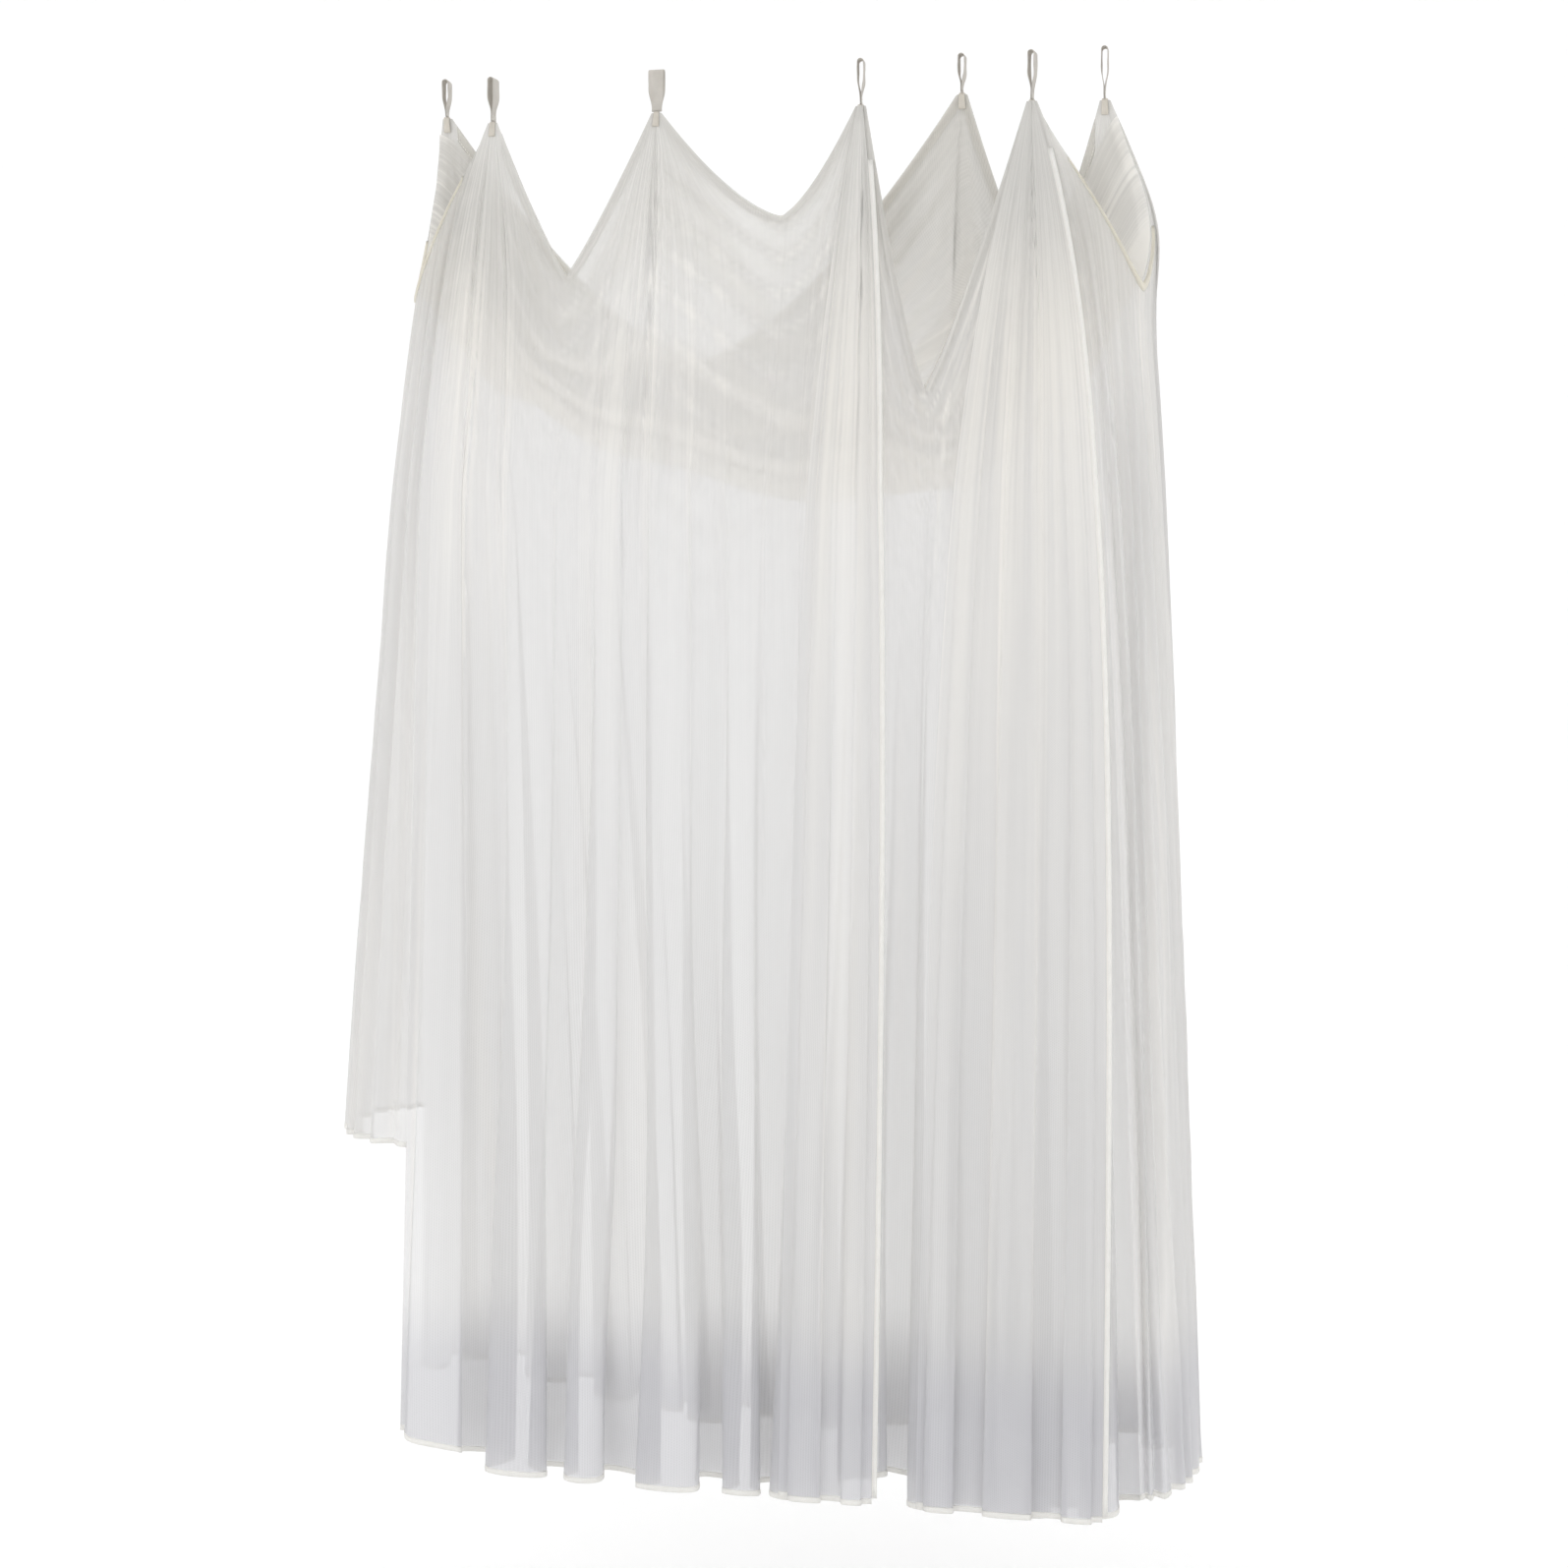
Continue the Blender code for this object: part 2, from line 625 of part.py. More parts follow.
def build():
    clear_scene()
    net = material("netting", (0.86, 0.86, 0.85), 0.75)
    tape = material("binding_tape", (0.80, 0.76, 0.66), 0.70)
    hem = material("hem", (0.88, 0.87, 0.85), 0.65)
    loop_finish = material("loop_tape", (0.64, 0.60, 0.54), 0.70)
    patch_finish = material("tip_patch", (0.76, 0.70, 0.60), 0.75)

    def front_foot(x):
        return HEM_DEPTH - rise(x, HEM_RISE)

    def back_foot(x):
        return HEM_DEPTH - rise(x, BACK_HEM_RISE)

    front_fans = wall_columns(FRONT_TIPS, FRONT_VALLEYS, front_left, front_right)
    back_fans = wall_columns(BACK_TIPS, BACK_VALLEYS, back_left, back_right)
    front_levels = levels_of(FRONT_VALLEYS, WALL_LEVELS)
    back_levels = levels_of(BACK_VALLEYS, WALL_LEVELS)
    left_line = wall("front_panel_left", front_fans, front_levels, -1, front_foot, net,
                     lambda x: x < SLIT_LEFT)
    right_line = wall("front_panel_right", front_fans, front_levels, -1, front_foot, net,
                      lambda x: x > SLIT_RIGHT)
    back_line = wall("back_panel", back_fans, back_levels, 1, back_foot, net)
    hem_strip("hem_front_left", left_line, hem)
    hem_strip("hem_front_right", right_line, hem)
    hem_strip("hem_back", back_line, hem)

    def left_foot(share):
        return LEFT_WALL_DEPTH

    def right_foot(share):
        return HEM_DEPTH - rise(front_right(HEM_DEPTH), HEM_RISE) * (1.0 - share)

    line = side_wall("side_panel_left", True, left_foot, SIDE_LEVELS, net)
    hem_strip("hem_side_left", line, hem)
    line = side_wall("side_panel_right", False, right_foot, SIDE_LEVELS + LOW_LEVELS, net)
    hem_strip("hem_side_right", line, hem)
    roof("roof_panel", net)

    inset = 2.0 * TIP_HALF
    edge_binding("edge_tape_front", front_edge, LOOP_X[FRONT_LEFT] + inset,
                 LOOP_X[FRONT_RIGHT] - inset, -1, tape)
    edge_binding("edge_tape_back", back_edge, LOOP_X[BACK_LEFT] + inset,
                 LOOP_X[BACK_RIGHT] - inset, 1, tape)
    side_binding("edge_tape_left", True, tape)
    side_binding("edge_tape_right", False, tape)

    for name, loop, span in (("middle_flap", MID_RIGHT, MIDDLE_FLAP),
                             ("corner_flap", FRONT_RIGHT, CORNER_FLAP)):
        free, lower = flap(name, loop, span, WALL_LEVELS, net)
        free_edge(name + "_free_edge", free, hem)
        hem_strip(name + "_hem", lower, hem)

    for loop in range(len(LOOP_X)):
        loop_tape("loop_%d" % (loop + 1), loop, loop_finish)
        facing = -1 if loop in FRONT_TIPS else 1
        tip_patch("tip_patch_%d" % (loop + 1), loop, facing, patch_finish)


build()
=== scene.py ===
"""Looks of the square mosquito net, hung by its loops on one straight line."""
import math

import bmesh
import bpy
import numpy as np
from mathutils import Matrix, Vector


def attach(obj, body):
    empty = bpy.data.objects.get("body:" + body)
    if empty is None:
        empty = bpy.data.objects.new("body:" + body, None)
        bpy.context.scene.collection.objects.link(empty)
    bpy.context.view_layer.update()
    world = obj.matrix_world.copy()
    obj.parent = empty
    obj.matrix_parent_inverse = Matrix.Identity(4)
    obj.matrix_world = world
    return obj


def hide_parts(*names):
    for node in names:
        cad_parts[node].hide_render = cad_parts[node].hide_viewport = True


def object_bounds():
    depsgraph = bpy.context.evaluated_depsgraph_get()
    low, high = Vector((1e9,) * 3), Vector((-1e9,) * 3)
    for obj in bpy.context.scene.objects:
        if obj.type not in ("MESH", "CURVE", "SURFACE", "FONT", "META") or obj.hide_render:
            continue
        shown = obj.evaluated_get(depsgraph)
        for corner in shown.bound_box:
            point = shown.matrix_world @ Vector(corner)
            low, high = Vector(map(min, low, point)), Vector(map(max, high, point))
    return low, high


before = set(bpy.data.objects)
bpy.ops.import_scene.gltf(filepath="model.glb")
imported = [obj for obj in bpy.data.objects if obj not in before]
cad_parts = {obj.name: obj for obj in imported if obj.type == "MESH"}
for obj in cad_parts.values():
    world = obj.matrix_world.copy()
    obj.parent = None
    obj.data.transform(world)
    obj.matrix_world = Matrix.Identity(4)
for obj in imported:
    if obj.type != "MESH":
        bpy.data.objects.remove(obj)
cad_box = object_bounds()

# Sizes of the part, in metres. Depths are measured down from the line of the loops. A valley is
# its place, its depth and its roundness.
HEM_DEPTH = 2.205
LEFT_WALL_DEPTH = 1.70
KINK_DEPTH = 0.66
KINK_REACH = 0.112
HEM_REACH = 0.195
SLOPE_TOP = 0.060
NET_THICK = 0.0016
CLEAR = 0.0003
BIND_THICK = 0.0014
BIND_WIDTH = 0.014
HEM_THICK = 0.0020
HEM_WIDTH = 0.009
FOLD_REACH = 0.034
TIP_HALF = 0.008
LOOP_X = (-0.560, -0.481, -0.207, 0.124, 0.283, 0.392, 0.503)
TIP_DEPTH = (0.060, 0.071, 0.067, 0.071, 0.060, 0.076, 0.078)
LOOP_TURN = (5.0, -4.0, 90.0, 4.0, 0.0, -5.0, 3.0)
TAPE_WIDTH = 0.025
TAPE_THICK = 0.0012
EYE_WIDTH = 0.0085
SEWN_LENGTH = 0.012
PATCH_HEIGHT = 0.022
PATCH_THICK = 0.0012
PATCH_WIDTH = 0.0088
SIDE_DROP = 0.004
BACK_LEFT, FRONT_LEFT, MID_LEFT, MID_RIGHT, BACK_MID, FRONT_RIGHT, BACK_RIGHT = range(7)
FOLD_TOP = max(TIP_DEPTH) + PATCH_HEIGHT + 0.015
FAN_SPREAD = 1.2
VALLEY_LEFT = (-0.342, 0.322, 1.15)
VALLEY_MID = (0.004, 0.240, 1.45)
VALLEY_V = (0.240, 0.515, 1.20)
VALLEY_BACK_LEFT = (-0.160, 0.450, 1.50)
VALLEY_BACK_RIGHT = (0.395, 0.335, 1.30)
SIDE_VALLEY_LEFT = 0.340
SIDE_VALLEY_RIGHT = 0.355
SIDE_SAG = 1.5
# A corner's spread from its loop, how soon it has spread, and its drift down to the hem
CORNER_FRONT_LEFT = (-0.075, 0.20, -0.020)
CORNER_BACK_LEFT = (-0.050, 0.30, -0.085)
CORNER_FRONT_RIGHT = (0.100, 0.25, 0.100)
CORNER_BACK_RIGHT = (0.060, 0.15, 0.055)
# The right end wall puffs out: how far, how deep below its tip, and over what height
PUFF = (0.023, 0.190, 0.105)
PUFF_START = 0.05
BULGE_LEFT = (0.020, 0.062)
BULGE_RIGHT = (0.030, 0.012)
BULGE_START = 0.15
# The lowest line of the roof: share of the way from left to right, and depth
TROUGH = ((0.0, 0.340), (0.12, 0.505), (0.30, 0.610), (0.56, 0.686), (0.76, 0.665),
          (0.90, 0.560), (1.0, 0.355))
TROUGH_EASE = 0.06
TROUGH_END = 0.25
TROUGH_ROUND = 2.2
TROUGH_SIDES = 0.6
ROOF_SEAM = 0.10
ROOF_DROP = 0.04
SLIT_LEFT = 0.104
SLIT_RIGHT = 0.144
FLAP_GAP = 0.012
FLAP_REACH = 0.020
FLAP_HEM_LIFT = 0.012
FLAP_SPREAD = 0.45
FREE_EDGE_TOP = 0.15
EDGE_WIDTH = 0.008
# Where the hem is drawn up: place, lift and half width
HEM_RISE = ((-0.600, 0.055, 0.130), (0.185, 0.045, 0.050), (0.640, 0.045, 0.080))
BACK_HEM_RISE = ((-0.560, 0.070, 0.200), (0.300, 0.020, 0.200))
# How far one layer lies outside the next
LAYER = 0.5 * BIND_THICK + CLEAR + 0.5 * NET_THICK
FLAP_LAYER = LAYER + NET_THICK + 2.0 * CLEAR + PATCH_THICK
SIDE_LAYER = HEM_THICK + CLEAR - LAYER
SIDE_STACK = 3.0 * LAYER
FRONT_TIPS = (FRONT_LEFT, MID_LEFT, MID_RIGHT, FRONT_RIGHT)
FRONT_VALLEYS = (VALLEY_LEFT, VALLEY_MID, VALLEY_V)
BACK_TIPS = (BACK_LEFT, BACK_MID, BACK_RIGHT)
BACK_VALLEYS = (VALLEY_BACK_LEFT, VALLEY_BACK_RIGHT)

# Folds and grids of the netting. A stretch is a depth and how far it runs down from there.
COLUMN = 0.0031            # cloth between two columns of faces
SETTLE_DEPTH = 0.56        # the fans have run together by here
FAN_ROWS = 54
HANG_ROWS = 62
RIPPLE_WAVES = 6           # sines in one ripple
RIPPLE_GAIN = 0.55
BUNDLE = 0.075             # half width of the gathered bundle under a loop
BETWEEN_LOOPS = 0.12       # share of the pleats that is left between the bundles
CORNER_CALM = 0.05         # without folds this near to a corner of the net
WEAKEST_FOLD = 0.65        # the flattest main fold against the deepest
LEAN = 3.4                 # above 1 a main fold overhangs, as a tube does
TUCK = 0.085               # how far the hollows between main folds go in at the hem
TUCK_STRETCH = (0.62, 0.35)
HOLLOW_WANDER = 0.012
PLEAT_WIDTH = 0.024        # fine pleats between the main folds
PLEAT_REACH = 0.0075
PLEAT_WANDER = 2.2         # in pleats
PLEAT_CALM = 0.90          # share of the pleats that is gone below their stretch
PLEAT_STRETCH = (0.35, 0.60)
PLEAT_LEAN = 2.3
PLEAT_LEAN_CALM = 0.6
PLEAT_LEAN_STRETCH = (0.20, 0.25)
SWAG_GAP = 0.045           # nested folds that hang from loop to loop below the roof edge
SWAG_DEPTH = 0.16
SWAG_REACH = 0.0035
SWAG_WANDER = 0.35         # in swags
SWAG_SHARPNESS = 4.0
SWAG_ROUND = 0.45          # a valley this much rounder than a V has its swags in full
SWAG_CORNER = 0.3          # strength of the swags at the corners of the net
# The extra gather on a swag crest also paints the crest lighter, as painted highlight lines
SWAG_GATHER_AND_LIGHT = 5.0          # how much denser the cloth is on a swag
THIN_BETWEEN = 0.10        # how much thinner the cloth is between the bundles
THIN_STRETCH = (0.45, 0.40)
CLOTH_WIDE = 1.45          # width of cloth over the width that it hangs in
SIDE_COLUMNS = 150
SIDE_ROWS = 86
SIDE_CLOTH_LEFT = 0.55     # width of the end walls
SIDE_CLOTH_RIGHT = 0.60
SIDE_BORDER = 0.07         # the folds fade out over this share of the wall at its corners
SIDE_FOLD_START = 0.35     # and over this depth below its top
SIDE_FOLD_WIDTH = 0.062
SIDE_FOLD_REACH = 0.022
SIDE_PLEAT_WIDTH = 0.021
SIDE_PLEAT_REACH = 0.002
ROOF_ALONG = 330
ROOF_ACROSS = 150
ROOF_DRAW = 0.16           # the sunk part of the roof is this much narrower
ROOF_SUNK_STRETCH = (0.26, 0.20)
ROOF_BORDER = 0.10         # the swags fade out over this share of the roof at its long borders
ROOF_END = 0.15            # and at its ends
ROOF_SWAGS = 11.0          # nested folds from the front edge to the back edge
ROOF_SWAG_REACH = 0.012
ROOF_CREASES = 31.0
ROOF_CREASE_REACH = 0.003
ROOF_STEP = 0.0055         # cloth between two rows of faces
ROOF_BOTTOM = 3.0          # how much denser the cloth lies in the trough
ROOF_CREST = 1.2           # and on the crest of a swag
ROOF_HOLLOW = 0.55         # how much thinner it is beside the crests
FLAP_PLEAT_REACH = 0.003
FLAP_GATHER = 1.08
# The hollows between the main folds at the hem, from left to right
FRONT_HOLLOWS = (-0.80, -0.70, -0.60, -0.46, -0.315, -0.215, -0.07, 0.02, 0.125, 0.235, 0.34,
                 0.475, 0.575, 0.69, 0.80)
MIDDLE_FLAP_HOLLOWS = (0.050, 0.135, 0.196)
CORNER_FLAP_HOLLOWS = (0.262, 0.335, 0.470, 0.545)
BACK_HOLLOWS = (-0.86, -0.76, -0.65, -0.58, -0.44, -0.35, -0.25, -0.17, -0.05, 0.07, 0.15,
                0.27, 0.36, 0.47, 0.59, 0.70, 0.82)

# Trim
BAND_CORNERS = 8           # points round the section of a hem
SIDE_ROLL = 0.006          # the binding of a side is bunched, as thick as this
TAPE_SECTION = ((0.0, 0.0), (0.12, 0.42), (0.5, 0.5), (0.88, 0.42), (1.0, 0.0), (0.88, -0.42),
                (0.5, -0.5), (0.12, -0.42))    # share of the width, share of the thickness
TAPE_SEAM = 0.82           # the stitches lie at this share of the tape's width
LOOP_GATHER = 0.35         # how much narrower a loop is at its foot
LOOP_CURL = 0.00035
PATCH_FLARE = 0.25
STITCH_OUT = 0.0011        # stitches before the middle of a hem, and below its upper border
STITCH_DOWN = 0.007
HEM_STITCH = {"Spacing": 0.0052, "Stitch length": 0.0036, "Thread": 0.00028}
LOOP_STITCH = {"Spacing": 0.0022, "Stitch length": 0.0017, "Thread": 0.00025}

# Finishes
WHITE = (1.0, 1.0, 1.0, 1.0)
# Painted light: netting in many layers is painted this much lighter than single netting, for the
# light that builds up between its layers
LAYERED_LIGHT_TONE = (0.92, 0.905, 0.875, 1.0)    # netting in many layers
# Painted shade: netting near the loops is painted this darker cream, as less light reaches the top
# of the net
TOP_SHADE_TONE = (0.60, 0.59, 0.565, 1.0)      # netting near the loops
TOP_SHADE_BAND = (0.52, 0.26)             # depths between which this tone fades in
NET_CELL = 0.0021
STREAKS = 85.0             # tone streaks to a metre of cloth
BROAD_STREAKS = 16.0
RIBBONS = 24.0

# Stage and camera
FLOOR_DROP = 0.30
PAPER_GLOW = 0.09
LAMP_SIZE = 2.8
LAMP_AIM = Vector((0.0, 0.0, -1.1))
LAMPS = (("key", (-2.8, -3.6, -0.4), 16.0), ("fill", (3.2, -3.0, -1.2), 14.0),
         ("back", (0.4, 3.0, 1.6), 12.0))
SENSOR = 36.0
FOCAL_LENGTH = 60.67
CAMERA_PLACE = (0.988, -4.082, -0.873)
CAMERA_DOWN = 3.50         # degrees
CAMERA_TURN = 13.6


def smooth(value):
    value = np.clip(value, 0.0, 1.0)
    return value * value * (3.0 - 2.0 * value)


def after(depth, stretch):
    """From 0 to 1 along a stretch, which is its start and its length."""
    start, length = stretch
    return smooth((depth - start) / length)


def paired(first, second):
    """Two values at each point of a grid, as one array."""
    return np.stack(np.broadcast_arrays(first, second), axis=-1)


def humps(turns):
    """0 at whole turns and 1 halfway between them."""
    return 0.5 - 0.5 * np.cos(2.0 * math.pi * turns)


def crests(turns):
    """1 at whole turns and 0 halfway between them."""
    return 0.5 + 0.5 * np.cos(2.0 * math.pi * turns)


def ripple(seed, across, down, waves):
    """Seeded smooth waves between -1 and 1; waves are the lengths across and down in metres."""
    dice = np.random.RandomState(seed)
    total = 0.0
    for _ in range(RIPPLE_WAVES):
        turn = dice.uniform(0.0, 2.0 * math.pi)
        fast = dice.uniform(0.6, 1.7) / waves[0]
        slow = dice.uniform(-1.2, 1.2) / waves[1]
        total = total + np.sin(2.0 * math.pi * (across * fast + down * slow) + turn)
    return np.tanh(total * RIPPLE_GAIN)


def uneven(seed, across, down, waves, share):
    """A factor of at most 1 that a ripple takes this share of, up and down."""
    return (1.0 - share) + share * ripple(seed, across, down, waves)


# Surfaces of the part

def reach(depth):
    """How far the walls stand before and behind the line of the loops."""
    return np.interp(depth, (SLOPE_TOP, KINK_DEPTH, HEM_DEPTH), (0.0, KINK_REACH, HEM_REACH))


def tip(loop):
    return LOOP_X[loop], TIP_DEPTH[loop]


def corner(loop, spread, depth):
    """Where a corner of the net stands below its loop."""
    x, top = tip(loop)
    below = np.maximum(0.0, depth - top)
    near = spread[0] * (1.0 - np.exp(-below / spread[1]))
    return x + math.copysign(TIP_HALF, spread[0]) + near + spread[2] * below / HEM_DEPTH


def front_left(depth):
    return corner(FRONT_LEFT, CORNER_FRONT_LEFT, depth)


def back_left(depth):
    return corner(BACK_LEFT, CORNER_BACK_LEFT, depth)


def front_right(depth):
    return corner(FRONT_RIGHT, CORNER_FRONT_RIGHT, depth)


def back_right(depth):
    top = TIP_DEPTH[BACK_RIGHT]
    puff = PUFF[0] * np.exp(-((depth - top - PUFF[1]) / PUFF[2]) ** 2)
    return corner(BACK_RIGHT, CORNER_BACK_RIGHT, depth) + smooth((depth - top) / PUFF_START) * puff


def edge_depth(x, tips, valleys):
    """How deep the upper edge of a wall hangs, from tip to valley to tip."""
    for loop in tips:
        if abs(x - LOOP_X[loop]) <= TIP_HALF:
            return TIP_DEPTH[loop]
    for left, right, valley in zip(tips, tips[1:], valleys):
        if LOOP_X[left] < x < LOOP_X[right]:
            start, top = tip(left if x < valley[0] else right)
            start += math.copysign(TIP_HALF, valley[0] - start)
            part = (x - start) / (valley[0] - start)
            return top + (valley[1] - top) * (1.0 - (1.0 - min(1.0, part)) ** valley[2])
    return TIP_DEPTH[tips[0] if x < LOOP_X[tips[0]] else tips[-1]]


def front_edge(x):
    return edge_depth(x, FRONT_TIPS, FRONT_VALLEYS)


def back_edge(x):
    return edge_depth(x, BACK_TIPS, BACK_VALLEYS)


def rise(x, rises):
    """How far the hem is drawn up."""
    return sum(lift * np.exp(-((x - place) / width) ** 2) for place, lift, width in rises)


def front_foot(x):
    return HEM_DEPTH - rise(x, HEM_RISE)


def back_foot(x):
    return HEM_DEPTH - rise(x, BACK_HEM_RISE)


def side_top(share, left):
    """How deep the top of an end wall hangs, from its front corner to its back corner."""
    ends = (TIP_DEPTH[FRONT_LEFT], TIP_DEPTH[BACK_LEFT]) if left else (
        TIP_DEPTH[FRONT_RIGHT], TIP_DEPTH[BACK_RIGHT])
    low = SIDE_VALLEY_LEFT if left else SIDE_VALLEY_RIGHT
    top = np.where(share < 0.5, ends[0], ends[1]) + PATCH_HEIGHT + SIDE_DROP
    return low + (top - low) * np.abs(2.0 * share - 1.0) ** SIDE_SAG


def side_plan(share, depth, left, inward=0.0):
    """A point of a side wall, from its front corner to its back corner."""
    near, far = (front_left, back_left) if left else (front_right, back_right)
    out = -1.0 if left else 1.0
    bulge = BULGE_LEFT if left else BULGE_RIGHT
    below = np.maximum(0.0, depth - SLOPE_TOP)
    swell = (bulge[0] * smooth(below / BULGE_START) + bulge[1] * below) * np.sin(math.pi * share)
    x = near(depth) + (far(depth) - near(depth)) * share + out * swell
    y = -(reach(depth) - SIDE_LAYER) * np.cos(math.pi * share)
    x = x - out * np.sin(math.pi * share) * inward
    y = y + np.cos(math.pi * share) * inward
    return np.stack(np.broadcast_arrays(x, y, -depth), axis=-1)


def roof_points(along, share):
    """The roof as a trough between the front and the back edge."""
    end_left = side_plan(share, side_top(share, True), True, SIDE_STACK)
    end_right = side_plan(share, side_top(share, False), False, SIDE_STACK)
    front = share < 0.5
    fx = LOOP_X[FRONT_LEFT] + along * (LOOP_X[FRONT_RIGHT] - LOOP_X[FRONT_LEFT])
    bx = LOOP_X[BACK_LEFT] + along * (LOOP_X[BACK_RIGHT] - LOOP_X[BACK_LEFT])
    edge = np.where(front, np.vectorize(front_edge)(fx), np.vectorize(back_edge)(bx))
    half = np.full_like(share, 0.5)
    ends = [side_plan(half, np.full_like(share, low), left, SIDE_STACK)[..., 0]
            for left, low in ((True, SIDE_VALLEY_LEFT), (False, SIDE_VALLEY_RIGHT))]
    middle = ends[0] + along * (ends[1] - ends[0])
    out = np.abs(2.0 * share - 1.0)
    x = middle + (np.where(front, fx, bx) - middle) * out ** SIDE_SAG
    trough = np.zeros_like(along)
    for (left, low), (right, high) in zip(TROUGH, TROUGH[1:]):
        part = (along - left) / (right - left)
        part = part - TROUGH_EASE * np.sin(2.0 * math.pi * part)
        trough = np.where((along >= left) & (along <= right), low + (high - low) * part, trough)
    low = np.maximum(trough, edge + ROOF_DROP)
    full = smooth(np.minimum(along, 1.0 - along) / TROUGH_END)
    bowl = 1.0 - np.sqrt(np.maximum(0.0, 1.0 - out ** TROUGH_ROUND))
    depth = low + (edge - low) * ((1.0 - full) * out ** SIDE_SAG + full * bowl)
    wide = np.maximum(reach(depth) - LAYER * (3.0 - 2.0 * full), -LAYER)
    y = np.where(front, -1.0, 1.0) * wide
    y = y * np.sin(0.5 * math.pi * out) ** (1.0 - (1.0 - TROUGH_SIDES) * full)
    body = np.stack((x, y, -depth), axis=-1)
    near = (1.0 - smooth(np.minimum(along, 1.0 - along) / ROOF_SEAM))[..., None]
    seam = np.where((along < 0.5)[..., None], end_left, end_right)
    return body * (1.0 - near) + seam * near


# Meshes

def new_object(name, mesh):
    made = bpy.data.objects.new(name, mesh)
    bpy.context.collection.objects.link(made)
    return made


def grid_faces(columns, rows, flip):
    base = (np.arange(columns - 1)[:, None] * rows + np.arange(rows - 1)[None, :]).ravel()
    ring = (base, base + rows, base + rows + 1, base + 1)
    return np.stack(ring[::-1] if flip else ring, axis=1)


def cloth_object(name, blocks, finish, flip):
    """One netting sheet from grids of points, each with its cloth, gather and drawn values."""
    points, faces, cloth, gather, drawn = [], [], [], [], []
    start = 0
    for block in blocks:
        columns, rows = block["points"].shape[:2]
        faces.append(grid_faces(columns, rows, flip) + start)
        points.append(block["points"].reshape(-1, 3))
        cloth.append(block["cloth"].reshape(-1, 2))
        gather.append(block["gather"].reshape(-1))
        drawn.append(np.broadcast_to(block["drawn"], (columns, rows)).reshape(-1))
        start += columns * rows
    points, faces = np.concatenate(points), np.concatenate(faces)
    cloth = np.concatenate(cloth)
    mesh = bpy.data.meshes.new(name)
    mesh.from_pydata(points.tolist(), [], faces.tolist())
    layer = mesh.uv_layers.new(name="cloth")
    layer.data.foreach_set("uv", cloth[faces.ravel()].astype(np.float32).ravel())
    for key, parts in (("gather", gather), ("drawn", drawn)):
        value = mesh.attributes.new(key, "FLOAT", "POINT")
        value.data.foreach_set("value", np.concatenate(parts).astype(np.float32))
    mesh.materials.append(finish)
    shape = bmesh.new()
    shape.from_mesh(mesh)
    bmesh.ops.remove_doubles(shape, verts=shape.verts, dist=2e-5)
    shape.to_mesh(mesh)
    shape.free()
    mesh.polygons.foreach_set("use_smooth", [True] * len(mesh.polygons))
    return new_object(name, mesh)


def gather_of(points, cloth_step, blur=9):
    """How much cloth lies within a width: its own width over the width that it takes up."""
    step = np.linalg.norm(np.diff(points, axis=0), axis=-1)
    step = np.concatenate((step, step[-1:]), axis=0)
    kernel = np.ones(2 * blur + 1) / (2 * blur + 1)
    padded = np.pad(step, ((blur, blur), (0, 0)), mode="edge")
    even = np.apply_along_axis(lambda line: np.convolve(line, kernel, mode="valid"), 0, padded)
    return np.clip(cloth_step / np.maximum(even, 1e-5), 0.8, 9.0) ** 0.6


def bundle(settled, loops, width=BUNDLE):
    """1 right under a loop, where the cloth hangs in a bundle of folds, and 0 between loops."""
    near = [np.exp(-((settled - LOOP_X[loop]) / width) ** 2) for loop in loops]
    return np.maximum.reduce(near)


def fold(points, settled, depth, outward, seed, room, top=0.0):
    """Main folds and fine pleats of a hanging sheet. outward is its side, room what it may fill."""
    below = np.maximum(0.0, depth - FOLD_TOP) / HEM_DEPTH
    spread = np.clip((depth - top) / SETTLE_DEPTH, 0.05, 1.0) ** 0.8
    packed = BETWEEN_LOOPS + (1.0 - BETWEEN_LOOPS) * bundle(settled, room["loops"])
    hollows = np.array(room["hollows"])
    wander = HOLLOW_WANDER * room["free"] * ripple(seed, settled, depth, (0.5, 2.5))
    main = np.interp(settled + wander, hollows, np.arange(len(hollows)))
    which = np.clip(main.astype(int), 0, len(hollows) - 2)
    wide = np.diff(hollows)[which]
    dice = np.random.RandomState(seed + 40)
    strong = dice.uniform(WEAKEST_FOLD, 1.0, len(hollows))[which]
    wave = humps(main)
    tuck = after(depth, TUCK_STRETCH) * room["tuck"]
    tuck = tuck * uneven(seed + 2, settled, depth, (0.26, 1.8), 0.4)
    out = below * (room["reach"] * strong * wave - tuck * (1.0 - wave))
    fine = settled / PLEAT_WIDTH + PLEAT_WANDER * ripple(seed + 3, settled, depth, (0.16, 1.9))
    calm = 1.0 - PLEAT_CALM * after(depth, PLEAT_STRETCH)
    size = calm * packed * uneven(seed + 4, settled, depth, (0.09, 1.4), 0.5)
    out += room["pleat"] * spread * size * crests(fine)
    swing = calm * packed * uneven(seed + 5, settled, depth, (0.10, 1.3), 0.5)
    swing = swing * (1.0 - PLEAT_LEAN_CALM * after(depth, PLEAT_LEAN_STRETCH))
    shift = spread * PLEAT_WIDTH / (4.0 * math.pi) * PLEAT_LEAN * swing
    shift = shift * np.sin(4.0 * math.pi * fine)
    lean = uneven(seed + 6, settled, depth, (0.24, 1.6), 0.2)
    shift += below * wide / (4.0 * math.pi) * LEAN * lean * np.sin(4.0 * math.pi * main)
    points = points.copy()
    points[..., 1] += outward * out
    points[..., 0] += shift * room["sideways"]
    return points


def half_fans(tips, valleys, borders):
    """Each loop's two halves: the loop, the side, and the low point or the corner beside it."""
    for place, loop in enumerate(tips):
        for side in (-1, 1):
            last = place == (0 if side < 0 else len(tips) - 1)
            valley = None if last else valleys[place - 1 if side < 0 else place]
            border = borders[0 if side < 0 else 1] if last else None
            yield loop, side, valley, border


